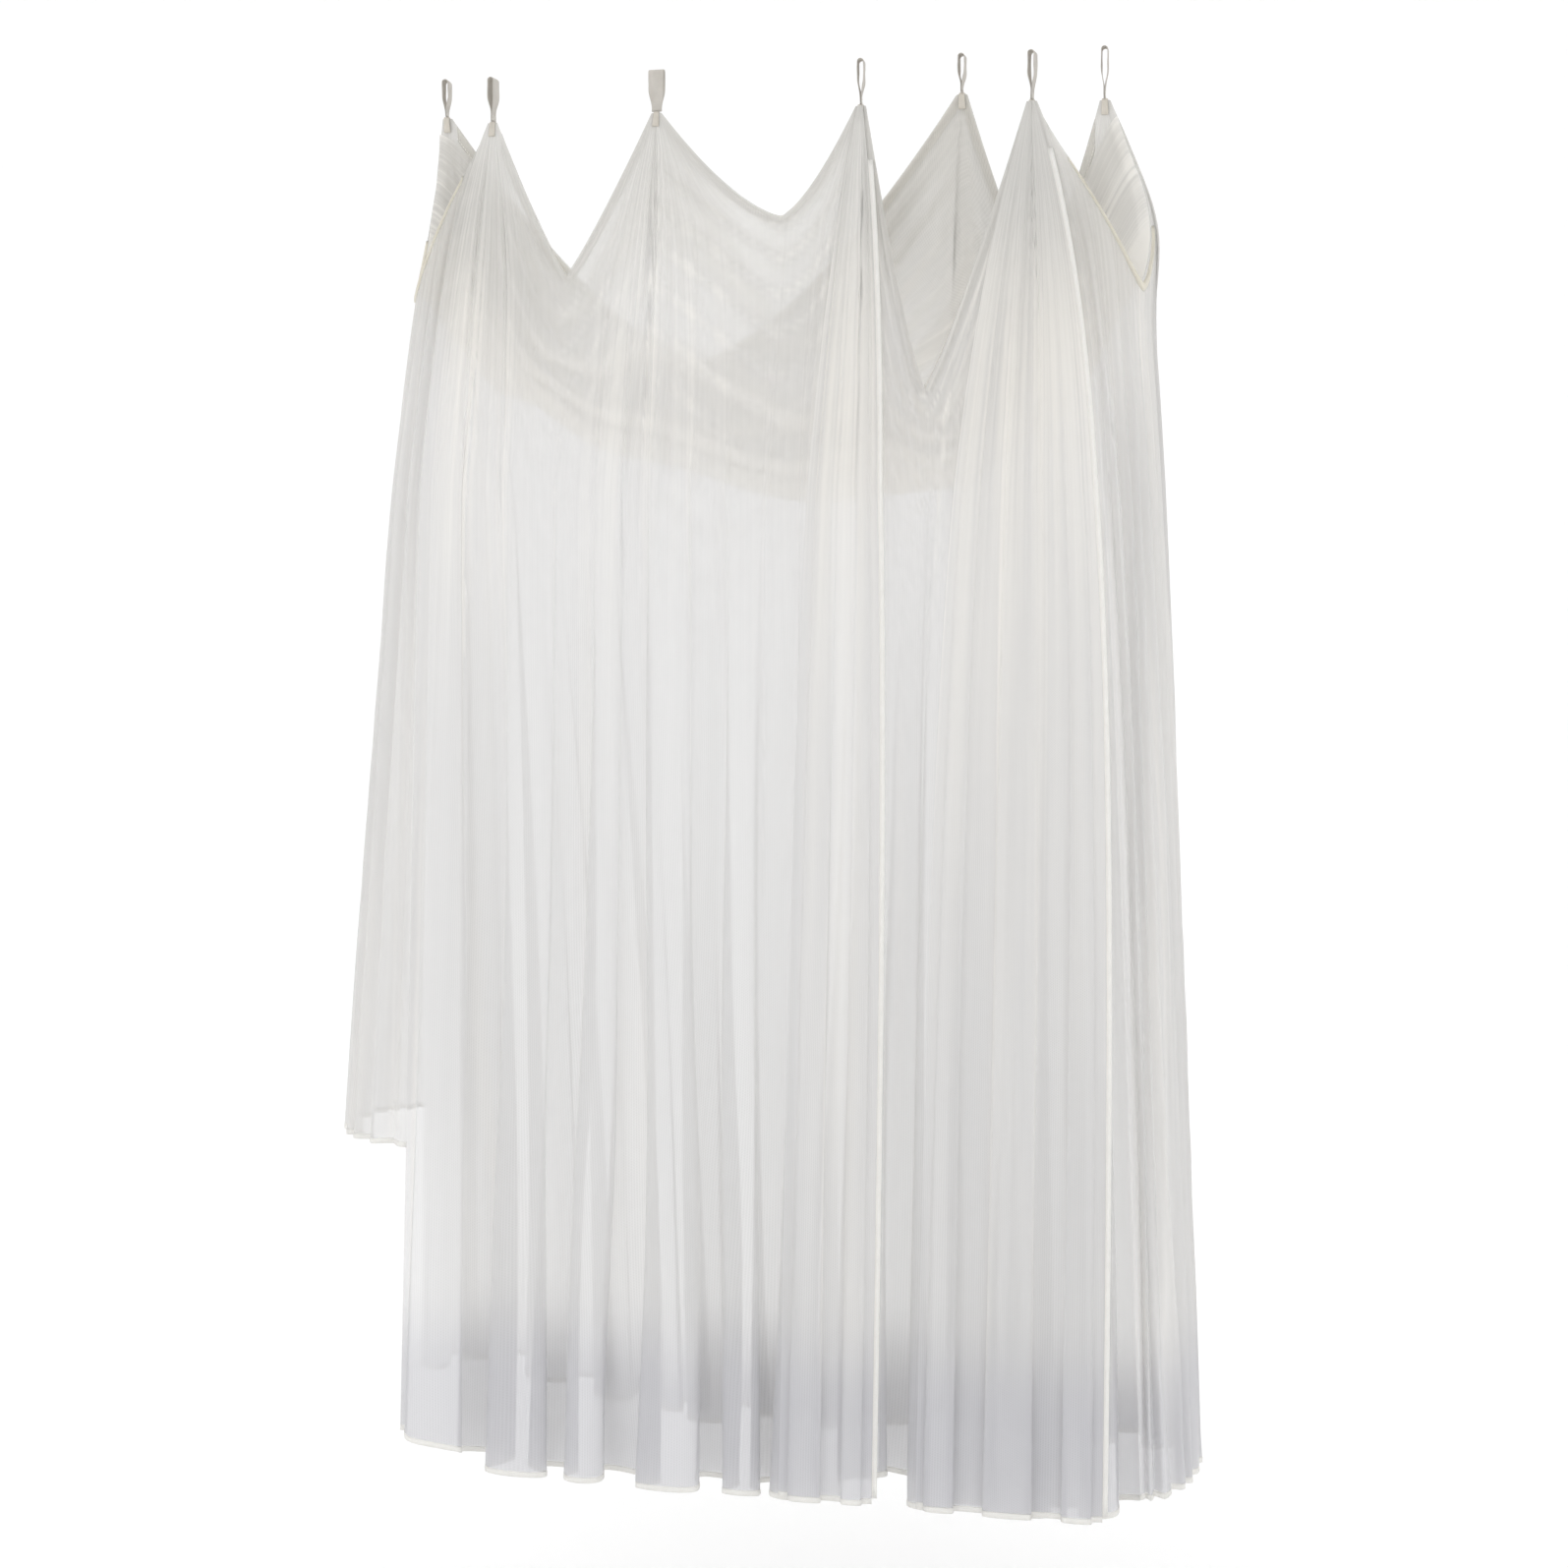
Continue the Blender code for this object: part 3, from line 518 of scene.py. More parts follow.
def swags(x, depth, edge, tips, seed):
    """1 on the crest of a nested fold that hangs below the roof edge, and 0 beside it."""
    near = np.maximum(0.0, depth - np.vectorize(edge)(x))
    wave = (near / SWAG_GAP) ** 0.85 + SWAG_WANDER * ripple(seed, x, depth, (0.60, 1.5))
    crest = humps(wave) ** SWAG_SHARPNESS * uneven(seed + 1, x, depth, (0.50, 0.9), 0.3)
    return crest * np.exp(-near / SWAG_DEPTH) * (1.0 - 0.8 * bundle(x, tips))


def fan(loop, side, valley, border, facing, foot, keep):
    """Half of the netting under a loop, unfolded: its points, settled columns and depths."""
    x0, top = tip(loop)
    end = valley[0] if valley else float(border(HEM_DEPTH))
    count = max(6, round(abs(end - x0) / COLUMN))
    share = np.linspace(0.0, 1.0, count + 1)
    settled = x0 + share * (end - x0)
    kept = keep(settled)
    if kept.sum() < 3:
        return None
    share, settled = share[kept], settled[kept]
    if side < 0:
        share, settled = share[::-1], settled[::-1]
    upper = top + (SETTLE_DEPTH - top) * np.linspace(0.0, 1.0, FAN_ROWS, endpoint=False) ** 1.15
    depth = np.broadcast_to(upper, (len(share), FAN_ROWS))
    down = np.linspace(0.0, 1.0, HANG_ROWS)
    hanging = SETTLE_DEPTH + (foot(settled)[:, None] - SETTLE_DEPTH) * down
    depth = np.concatenate((depth, hanging), axis=1)
    part = share[:, None]
    if valley:
        fall = (depth - top) / (valley[1] - top)
        edge = 1.0 - (1.0 - np.clip(fall, 0.0, 1.0)) ** (1.0 / valley[2])
        inner = 1.0 - np.exp(-FAN_SPREAD * fall / valley[2])
        open_out = (1.0 - part ** 2) * inner + part ** 2 * edge
        x = x0 + part * (side * TIP_HALF + (end - x0 - side * TIP_HALF) * open_out)
    else:
        x = x0 + part * (border(depth) - x0)
    y = facing * (reach(depth) + LAYER)
    return np.stack((x, y, -depth), axis=-1), settled, depth, end


def wall(name, tips, valleys, borders, facing, foot, finish, seed, keep):
    """One wall: a fan of netting under each loop, run together below the low points."""
    blocks, lower = [], []
    edge_line = front_edge if facing < 0 else back_edge
    room = {"hollows": FRONT_HOLLOWS if facing < 0 else BACK_HOLLOWS, "reach": FOLD_REACH,
            "tuck": TUCK, "pleat": PLEAT_REACH, "sideways": 1.0, "free": 1.0, "loops": tips}
    for loop, side, valley, border in half_fans(tips, valleys, borders):
        made = fan(loop, side, valley, border, facing, foot, keep)
        if made is None:
            continue
        points, settled, depth, end = made
        top = TIP_DEPTH[loop]
        folded = fold(points, settled[:, None] + 0.0 * depth, depth, facing, seed, room, top)
        if not valley:
            pinned = np.minimum(abs(settled[:, None] - end) / CORNER_CALM, 1.0)[..., None]
            folded = points * (1.0 - pinned) + folded * pinned
        hung = swags(folded[..., 0], depth, edge_line, tips, seed + 7)
        hung = hung * (min(1.0, (valley[2] - 1.0) / SWAG_ROUND) if valley else SWAG_CORNER)
        thick = gather_of(folded, 1.2 * COLUMN) * (0.85 + 0.45 * bundle(settled, tips)[:, None])
        under = bundle(settled, tips, 1.5 * BUNDLE)[:, None]
        thin = THIN_BETWEEN * (1.0 - under) * (1.0 - after(depth, THIN_STRETCH))
        folded[..., 1] += facing * SWAG_REACH * hung
        blocks.append({"points": folded, "cloth": paired(CLOTH_WIDE * settled[:, None], depth),
                       # the swag crests get more gather, which paints them lighter as painted
                       # highlights
                       "gather": thick * (1.0 - thin) * (1.0 + SWAG_GATHER_AND_LIGHT * hung),
                       "drawn": 0.05 + 0.95 * under})
        lower.append(folded[:, -1])
    sheet = cloth_object(name, blocks, finish, facing > 0)
    return sheet, np.concatenate(lower)


def side_wall(name, left, foot, finish, seed):
    """An end wall, which hangs in plain folds between its two corners."""
    share = np.linspace(0.0, 1.0, SIDE_COLUMNS)[:, None]
    top = side_top(share, left)
    down = np.linspace(0.0, 1.0, SIDE_ROWS)[None, :] ** 1.1
    depth = top + (foot(share) - top) * down
    place = share * (SIDE_CLOTH_LEFT if left else SIDE_CLOTH_RIGHT)
    below = np.clip((depth - top) / SIDE_FOLD_START, 0.0, 1.0)
    ends = np.clip(np.minimum(share, 1.0 - share) / SIDE_BORDER, 0.0, 1.0)
    main = place / SIDE_FOLD_WIDTH + 0.3 * ripple(seed, place, depth, (0.3, 2.0))
    fine = place / SIDE_PLEAT_WIDTH + 0.8 * ripple(seed + 1, place, depth, (0.1, 0.8))
    inward = ends * below * (SIDE_FOLD_REACH * humps(main) + SIDE_PLEAT_REACH * humps(fine))
    points = side_plan(share + 0.0 * depth, depth, left, inward)
    step = np.linalg.norm(points[1:, -1] - points[:-1, -1], axis=-1).mean()
    block = {"points": points, "cloth": paired(1.4 * place, depth),
             "gather": gather_of(points, step) ** 0.5 + 0.35, "drawn": 0.2}
    return cloth_object(name, [block], finish, left), points[:, -1]


def spacing(points, axis):
    """The distance from each point of a grid to the next one, the last one repeated."""
    step = np.linalg.norm(np.diff(points, axis=axis), axis=-1)
    return np.concatenate((step, step.take([-1], axis=axis)), axis=axis)


def roof(name, finish, seed):
    """The roof: nested swags that run from loop to loop and lie deepest in the middle."""
    along = np.linspace(0.0, 1.0, ROOF_ALONG)[:, None]
    share = np.linspace(0.0, 1.0, ROOF_ACROSS)[None, :]
    along, share = np.broadcast_arrays(along, share)
    points = roof_points(along, share)
    normal = np.cross(np.gradient(points, axis=1), np.gradient(points, axis=0))
    normal /= np.maximum(np.linalg.norm(normal, axis=-1, keepdims=True), 1e-9)
    inward = normal[..., 2:] - np.sign(points[..., 1:2]) * normal[..., 1:2]
    normal *= np.where(inward < 0.0, -1.0, 1.0)
    sunk = after(-points[..., 2], ROOF_SUNK_STRETCH)
    points = points.copy()
    points[..., 1] *= 1.0 - ROOF_DRAW * sunk * np.sin(math.pi * along)
    inland = np.minimum(along, 1.0 - along)
    free = smooth(np.minimum(share, 1.0 - share) / ROOF_BORDER) * smooth(inland / ROOF_END)
    swag = ROOF_SWAGS * share + 0.55 * ripple(seed, along, share, (1.1, 0.9))
    fine = ROOF_CREASES * share + 0.8 * ripple(seed + 1, along, share, (0.8, 0.7))
    size = uneven(seed + 2, along, share, (0.9, 0.5), 0.35)
    crest = humps(swag)
    crease = 0.5 + 0.5 * np.sin(2.0 * math.pi * fine)
    lift = free * size * (ROOF_SWAG_REACH * crest + ROOF_CREASE_REACH * crease)
    folded = points + normal * lift[..., None]
    step, long = spacing(points, 1), spacing(points, 0)
    wide = long * 0.0 + long.mean(axis=0, keepdims=True)
    dense = ROOF_STEP / np.maximum(step, 1e-3)
    dense = dense * np.clip(wide / np.maximum(long, 1e-4), 0.8, 2.5)
    bottom = 1.0 + ROOF_BOTTOM * np.exp(-((share - 0.5) / 0.22) ** 4)
    cloud = 1.0 + 0.20 * ripple(seed + 3, along, share, (0.9, 0.35))
    dense = np.clip(dense, 0.7, 1.4) * bottom * cloud
    dense = dense * (1.0 + smooth(inland / 0.20) * (ROOF_CREST * crest ** 3 - ROOF_HOLLOW))
    block = {"points": folded, "cloth": paired(1.9 * share, 0.95 + 0.9 * along),
             "gather": np.clip(dense, 0.5, 4.0), "drawn": 0.45}
    return cloth_object(name, [block], finish, True)


def flap(name, loop, hollows, finish, seed):
    """A flap: a strip that opens out from one loop and hangs before its wall."""
    x, top = tip(loop)
    span = (hollows[0], hollows[-1])
    count = round((span[1] - span[0]) / (0.8 * COLUMN))
    share = np.linspace(0.0, 1.0, count + 1)[:, None]
    rows = np.linspace(0.0, 1.0, FAN_ROWS + HANG_ROWS)[None, :] ** 1.25
    foot = HEM_DEPTH - FLAP_HEM_LIFT
    depth = np.broadcast_to(top + (foot - top) * rows, (count + 1, FAN_ROWS + HANG_ROWS))
    settled = span[0] + (span[1] - span[0]) * share + 0.0 * depth
    start = x - 0.5 * TIP_HALF + TIP_HALF * share
    place = start + (settled - start) * (1.0 - np.exp(-(depth - top) / FLAP_SPREAD))
    below = np.maximum(0.0, depth - SLOPE_TOP) / HEM_DEPTH
    out = reach(depth) + FLAP_LAYER + (FOLD_REACH + FLAP_GAP) * below
    points = np.stack((place, -out, -depth), axis=-1)
    room = {"hollows": hollows, "reach": FLAP_REACH, "tuck": 0.0, "pleat": FLAP_PLEAT_REACH,
            "sideways": 0.7, "free": 0.0, "loops": (loop,)}
    folded = fold(points, settled, depth, -1.0, seed, room, top)
    edge = np.clip((1.0 - share) / 0.06, 0.0, 1.0)[..., None]
    folded[..., :1] = points[..., :1] * (1.0 - edge) + folded[..., :1] * edge
    block = {"points": folded, "cloth": paired(1.5 * settled, depth),
             "gather": FLAP_GATHER * gather_of(folded, 1.25 * COLUMN), "drawn": 0.8}
    return cloth_object(name, [block], finish, False), folded[:, -1], folded[-1]


def thinned(line, gap):
    """Points of a line with at least a gap between them, the two ends kept."""
    kept = [Vector(line[0])]
    for point in line[1:-1]:
        if (Vector(point) - kept[-1]).length >= gap:
            kept.append(Vector(point))
    if (Vector(line[-1]) - kept[-1]).length < 0.5 * gap and len(kept) > 1:
        kept.pop()
    return kept + [Vector(line[-1])]


def tube_faces(rings, corners):
    """The faces of a closed tube of rings, each with this many corners."""
    faces = []
    for k in range(rings - 1):
        for turn in range(corners):
            a, b = k * corners + turn, k * corners + (turn + 1) % corners
            faces.append((a, b, b + corners, a + corners))
    last = (rings - 1) * corners
    return faces + [tuple(reversed(range(corners))), tuple(range(last, last + corners))]


def ribbon_faces(stations, across):
    """The faces of a closed ribbon with this many points across each of its two sides."""
    ring, edge = 2 * across, across - 1
    faces = []
    for a in range(0, (stations - 1) * ring, ring):
        b = a + ring
        for step in range(across - 1):
            i, j = a + across + step, b + across + step
            faces.append((a + step, a + step + 1, b + step + 1, b + step))
            faces.append((i, j, j + 1, i + 1))
        faces.append((a, b, b + across, a + across))
        faces.append((a + edge, a + across + edge, b + across + edge, b + edge))
    for a in (0, (stations - 1) * ring):
        faces.append(tuple(range(a, a + across)) + tuple(reversed(range(a + across, a + ring))))
    return faces


def ribbon(name, path, lays, across, width, thick, rim, curl, place, finish):
    """A closed ribbon along a flat path, with thinner borders.

    lays are the lengths of cloth up to each point of the path. curl bends the ribbon out of its
    path, and place says where a point of it lies on the net.
    """
    points, cloth = [], []
    for k, (a, b) in enumerate(path):
        start, end = path[max(0, k - 1)], path[min(len(path) - 1, k + 1)]
        ahead = Vector((end[0] - start[0], end[1] - start[1])).normalized()
        for face in (0.5, -0.5):
            for step in range(across):
                part = 2.0 * step / (across - 1) - 1.0
                thin = thick * (rim if step in (0, across - 1) else 1.0)
                shift = face * thin + curl(lays[k], part, b)
                points.append(place(a + ahead.y * shift, b - ahead.x * shift, part, b))
                cloth.append((lays[k] + (0.2 if face < 0 else 0.0), 0.5 * width * part))
    return soft_mesh(name, points, ribbon_faces(len(path), across), cloth, finish)


def round_band(name, line, low, side, width, thick, finish):
    """A soft band of flat oval section along a line. low is down it, side across it."""
    points, cloth = [], []
    travel = 0.0
    for k, point in enumerate(line):
        if k:
            travel += (point - line[k - 1]).length
        centre = point + low[k] * (0.5 * width)
        for turn in range(BAND_CORNERS):
            angle = 2.0 * math.pi * turn / BAND_CORNERS
            up = math.copysign(abs(math.cos(angle)) ** 0.6, math.cos(angle))
            out = math.copysign(abs(math.sin(angle)) ** 0.8, math.sin(angle))
            points.append(centre - low[k] * (0.5 * width * up) + side[k] * (0.5 * thick * out))
            cloth.append((travel, 0.5 * width * up + (0.05 if out < 0.0 else 0.0)))
    return soft_mesh(name, points, tube_faces(len(line), BAND_CORNERS), cloth, finish)


def soft_mesh(name, points, faces, cloth, finish):
    """A closed mesh with its cloth lengths as a UV map and its faces outwards."""
    mesh = bpy.data.meshes.new(name)
    mesh.from_pydata([tuple(p) for p in points], [], faces)
    layer = mesh.uv_layers.new(name="cloth")
    for loop in mesh.loops:
        layer.data[loop.index].uv = cloth[loop.vertex_index]
    mesh.materials.append(finish)
    shape = bmesh.new()
    shape.from_mesh(mesh)
    bmesh.ops.recalc_face_normals(shape, faces=shape.faces)
    shape.to_mesh(mesh)
    shape.free()
    mesh.polygons.foreach_set("use_smooth", [True] * len(mesh.polygons))
    return new_object(name, mesh)


def frame_of(line, low):
    """Down and side vectors of a band at each point of its line."""
    lows, sides = [], []
    for k in range(len(line)):
        ahead = line[min(k + 1, len(line) - 1)] - line[max(k - 1, 0)]
        side = ahead.cross(low(k)).normalized()
        sides.append(side)
        lows.append(low(k).normalized())
    return lows, sides


def hem(name, line, finish):
    """The folded hem along the foot of a sheet, and the line that it follows."""
    line = thinned(line, 0.0035)
    line = [point + Vector((0.0, 0.0, -CLEAR)) for point in line]
    lows, sides = frame_of(line, lambda k: Vector((0.0, 0.0, -1.0)))
    return round_band(name, line, lows, sides, HEM_WIDTH, HEM_THICK, finish), line


def free_edge(name, line, finish):
    """The bound free edge of a flap, and the line that it follows."""
    kept = [point for point in line if point[2] < -FREE_EDGE_TOP]
    line = thinned(kept, 0.012)
    lows, sides = frame_of(line, lambda k: Vector((1.0, 0.0, 0.0)))
    return round_band(name, line, lows, sides, EDGE_WIDTH, HEM_THICK, finish), line


def edge_tape(name, edge, start, end, facing, finish):
    """Binding along a roof edge: its lower border keeps the tape's width from the edge."""
    line, lows = [], []
    for x in np.linspace(start, end, 260):
        near = np.linspace(max(start, x - BIND_WIDTH), min(end, x + BIND_WIDTH), 17)
        low = max(edge(p) + math.sqrt(max(0.0, BIND_WIDTH ** 2 - (p - x) ** 2)) for p in near)
        top = edge(x)
        line.append(Vector((x, facing * float(reach(top)), -top)))
        lows.append(Vector((x, facing * float(reach(low)), -low)) - line[-1])
    side = Vector((0.0, -facing, 0.0))
    points, cloth = [], []
    travel = 0.0
    for k, a in enumerate(line):
        if k:
            travel += (a - line[k - 1]).length
        wave = 0.0002 * math.sin(travel * 210.0)
        for down, out in TAPE_SECTION:
            points.append(a + lows[k] * down + side * (out * BIND_THICK + wave))
            cloth.append((travel, down * BIND_WIDTH + (0.03 if out < 0.0 else 0.0)))
    made = soft_mesh(name, points, tube_faces(len(line), len(TAPE_SECTION)), cloth, finish)
    return made, [a + low * TAPE_SEAM + side * (0.5 * BIND_THICK) for a, low in zip(line, lows)]


def side_tape(name, left, finish):
    """The bunched binding along the top of an end wall."""
    stations = np.linspace(1.0 / 12.0, 9.0 / 12.0, 60)
    top = side_top(stations, left)
    upper = side_plan(stations, top, left)
    lower = side_plan(stations, top + BIND_WIDTH, left)
    line = [Vector(p) for p in upper]
    lows = [(Vector(b) - Vector(a)).normalized() for a, b in zip(upper, lower)]
    sides = frame_of(line, lambda k: lows[k])[1]
    return round_band(name, line, lows, sides, BIND_WIDTH, SIDE_ROLL, finish)


def loop_tape(name, loop, finish):
    """A loop of woven tape: up one leg, over the line and down the other."""
    x, depth = tip(loop)
    foot = depth - PATCH_THICK - 2.0 * CLEAR - 0.5 * NET_THICK
    radius = 0.5 * EYE_WIDTH + 0.5 * TAPE_THICK
    close = 0.5 * TAPE_THICK + 0.0001
    leg = [(close, -foot)]
    for k in range(1, 17):
        part = k / 16.0
        z = -foot + (foot - radius) * part
        open_up = float(smooth((part - 0.18) / 0.42))
        leg.append((close + (radius - close) * open_up, z))
    arc = [(radius * math.cos(math.pi * k / 18), -0.5 * EYE_WIDTH + radius * math.sin(
        math.pi * k / 18)) for k in range(1, 18)]
    path = leg + arc + [(-a, b) for a, b in reversed(leg)]
    turned = math.radians(LOOP_TURN[loop])
    eye = Vector((math.cos(turned), math.sin(turned), 0.0))
    wide = Vector((-math.sin(turned), math.cos(turned), 0.0))
    lays = [0.0]
    for (a, b), (c, d) in zip(path, path[1:]):
        lays.append(lays[-1] + math.hypot(c - a, d - b))

    def curl(lay, part, z):
        return LOOP_CURL * part * math.sin(lay * 160.0 + loop) * min(1.0, -z / 0.02)

    def place(out, up, part, z):
        narrow = 1.0 - LOOP_GATHER * float(smooth((-z - 0.03) / 0.03))
        return (Vector((x, 0.0, up)) + eye * out
                + wide * (0.5 * TAPE_WIDTH * narrow * part))

    made = ribbon(name, path, lays, 9, TAPE_WIDTH, TAPE_THICK, 0.35, curl, place, finish)
    tack = [Vector((x, 0.0, -foot + SEWN_LENGTH * part)) + wide * (0.5 * TAPE_WIDTH * 0.55 * way)
            + eye * (TAPE_THICK + 0.0002)
            for part, way in ((0.25, -1), (0.25, 1), (0.75, -1), (0.75, 1), (0.25, -1))]
    return made, tack


def tip_patch(name, loop, facing, finish):
    """A patch folded over a gathered tip, one leg before the net and one behind it."""
    x, depth = tip(loop)
    inner = LAYER + 0.5 * NET_THICK + CLEAR
    mid = inner + 0.5 * PATCH_THICK
    foot = depth + PATCH_HEIGHT
    top = -depth + 0.5 * NET_THICK + CLEAR + 0.5 * PATCH_THICK
    high, low = facing * float(reach(depth)), facing * float(reach(foot))
    path = [(low - mid + (high - low) * k / 8.0, -foot + (foot - depth) * k / 8.0)
            for k in range(9)]
    path += [(high - 0.7 * mid, top - 0.0002), (high, top), (high + 0.7 * mid, top - 0.0002)]
    path += [(low + mid + (high - low) * k / 8.0, -foot + (foot - depth) * k / 8.0)
             for k in range(8, -1, -1)]
    lays = [k * 0.003 for k in range(len(path))]

    def place(y, z, part, down):
        flare = 1.0 + PATCH_FLARE * (-down - depth) / PATCH_HEIGHT
        return Vector((x + 0.5 * PATCH_WIDTH * flare * part, y, z))

    return ribbon(name, path, lays, 7, PATCH_WIDTH, PATCH_THICK, 0.4, lambda *spot: 0.0, place,
                  finish)


# Stitches

def stitch_tree(finish):
    """Geometry nodes: short thread stitches, end to end along a line of edges."""
    tree = bpy.data.node_groups.new("stitch_run", "GeometryNodeTree")
    sockets = {}
    face = tree.interface
    face.new_socket("Geometry", in_out="INPUT", socket_type="NodeSocketGeometry")
    for label, value in HEM_STITCH.items():
        made = face.new_socket(label, in_out="INPUT", socket_type="NodeSocketFloat")
        made.default_value = value
        sockets[label] = made.identifier
    face.new_socket("Geometry", in_out="OUTPUT", socket_type="NodeSocketGeometry")
    nodes = tree.nodes
    source, sink = nodes.new("NodeGroupInput"), nodes.new("NodeGroupOutput")
    curve = nodes.new("GeometryNodeMeshToCurve")
    even = nodes.new("GeometryNodeResampleCurve")
    even.mode = "LENGTH"
    thread = nodes.new("GeometryNodeMeshCylinder")
    thread.inputs["Vertices"].default_value = 5
    tangent = nodes.new("GeometryNodeInputTangent")
    align = nodes.new("FunctionNodeAlignRotationToVector")
    align.axis = "Z"
    copy = nodes.new("GeometryNodeInstanceOnPoints")
    real = nodes.new("GeometryNodeRealizeInstances")
    paint = nodes.new("GeometryNodeSetMaterial")
    paint.inputs["Material"].default_value = finish
    for giver, given, taker, taken in (
            (source, "Geometry", curve, "Mesh"), (curve, "Curve", even, "Curve"),
            (source, "Spacing", even, "Length"), (source, "Thread", thread, "Radius"),
            (source, "Stitch length", thread, "Depth"), (even, "Curve", copy, "Points"),
            (thread, "Mesh", copy, "Instance"), (tangent, "Tangent", align, "Vector"),
            (align, "Rotation", copy, "Rotation"), (copy, "Instances", real, "Geometry"),
            (real, "Geometry", paint, "Geometry"), (paint, "Geometry", sink, "Geometry")):
        tree.links.new(giver.outputs[given], taker.inputs[taken])
    return tree, sockets


def stitch_runs(name, lines, tree, sockets, sizes):
    """The stitches of several lines as one plain mesh."""
    points, edges = [], []
    for line in lines:
        start = len(points)
        points += [tuple(point) for point in line]
        edges += [(start + k, start + k + 1) for k in range(len(line) - 1)]
    mesh = bpy.data.meshes.new(name + "_line")
    mesh.from_pydata(points, edges, [])
    guide = new_object(name + "_line", mesh)
    run = guide.modifiers.new("Stitches", "NODES")
    run.node_group = tree
    for label, value in sizes.items():
        run[sockets[label]] = value
    bpy.context.view_layer.update()
    seen = guide.evaluated_get(bpy.context.evaluated_depsgraph_get())
    made = new_object(name, bpy.data.meshes.new_from_object(seen))
    bpy.data.objects.remove(guide, do_unlink=True)
    made.data.name = name
    return made


# Materials

class Value:
    """A socket in a material's tree, with maths that adds nodes."""

    def __init__(self, tree, socket):
        self.tree, self.socket = tree, socket

    def make(self, kind, outputs=0, settings=(), inputs=()):
        """A node of a kind: its settings first, then its sockets' values or links."""
        node = self.tree.nodes.new(kind)
        for key, value in dict(settings).items():
            setattr(node, key, value)
        for key, value in dict(inputs).items():
            if isinstance(value, Value):
                self.tree.links.new(value.socket, node.inputs[key])
            else:
                node.inputs[key].default_value = value
        return Value(self.tree, node.outputs[outputs])

    def maths(self, operation, *others):
        values = dict(enumerate((self,) + others))
        return self.make("ShaderNodeMath", 0, {"operation": operation}, values)

    def __add__(self, other):
        return self.maths("ADD", other)

    def __sub__(self, other):
        return self.maths("SUBTRACT", other)

    def __mul__(self, other):
        return self.maths("MULTIPLY", other)

    def __rsub__(self, other):
        return self.make("ShaderNodeMath", 0, {"operation": "SUBTRACT"}, {0: other, 1: self})

    def __rpow__(self, other):
        return self.make("ShaderNodeMath", 0, {"operation": "POWER"}, {0: other, 1: self})

    __radd__ = __add__
    __rmul__ = __mul__

    def wave(self):
        return self.maths("COSINE")

    def between(self, low, high):
        """From 0 at low to 1 at high, smoothly."""
        return self.make("ShaderNodeMapRange", 0, {"interpolation_type": "SMOOTHSTEP"},
                         {"Value": self, "From Min": low, "From Max": high})

    def blend(self, first, second):
        """The first colour at 0, the second at 1."""
        return self.make("ShaderNodeMix", 2, {"data_type": "RGBA"},
                         {0: self, 6: first, 7: second})


def start_material(name):
    """A new material, and its cloth lengths across and down as values."""
    made = bpy.data.materials.new(name)
    made.use_nodes = True
    tree = made.node_tree
    tree.nodes.clear()
    maker = Value(tree, None)
    spot = maker.make("ShaderNodeUVMap", 0, {"uv_map": "cloth"})
    across = maker.make("ShaderNodeSeparateXYZ", 0, (), {"Vector": spot})
    down = Value(tree, across.socket.node.outputs[1])
    return made, maker, across, down


def end_material(maker, shown):
    """Joins the last shader to the material's output."""
    out = maker.tree.nodes.new("ShaderNodeOutputMaterial")
    maker.tree.links.new(shown.socket, out.inputs["Surface"])


def mixed(maker, share, first, second):
    return maker.make("ShaderNodeMixShader", 0, (), {0: share, 1: first, 2: second})


def noise(maker, across, down, seed, detail=2.0):
    place = maker.make("ShaderNodeCombineXYZ", 0, (), {"X": across, "Y": down, "Z": seed})
    return maker.make("ShaderNodeTexNoise", 0, {"noise_dimensions": "3D"},
                      {"Vector": place, "Scale": 1.0, "Detail": detail})


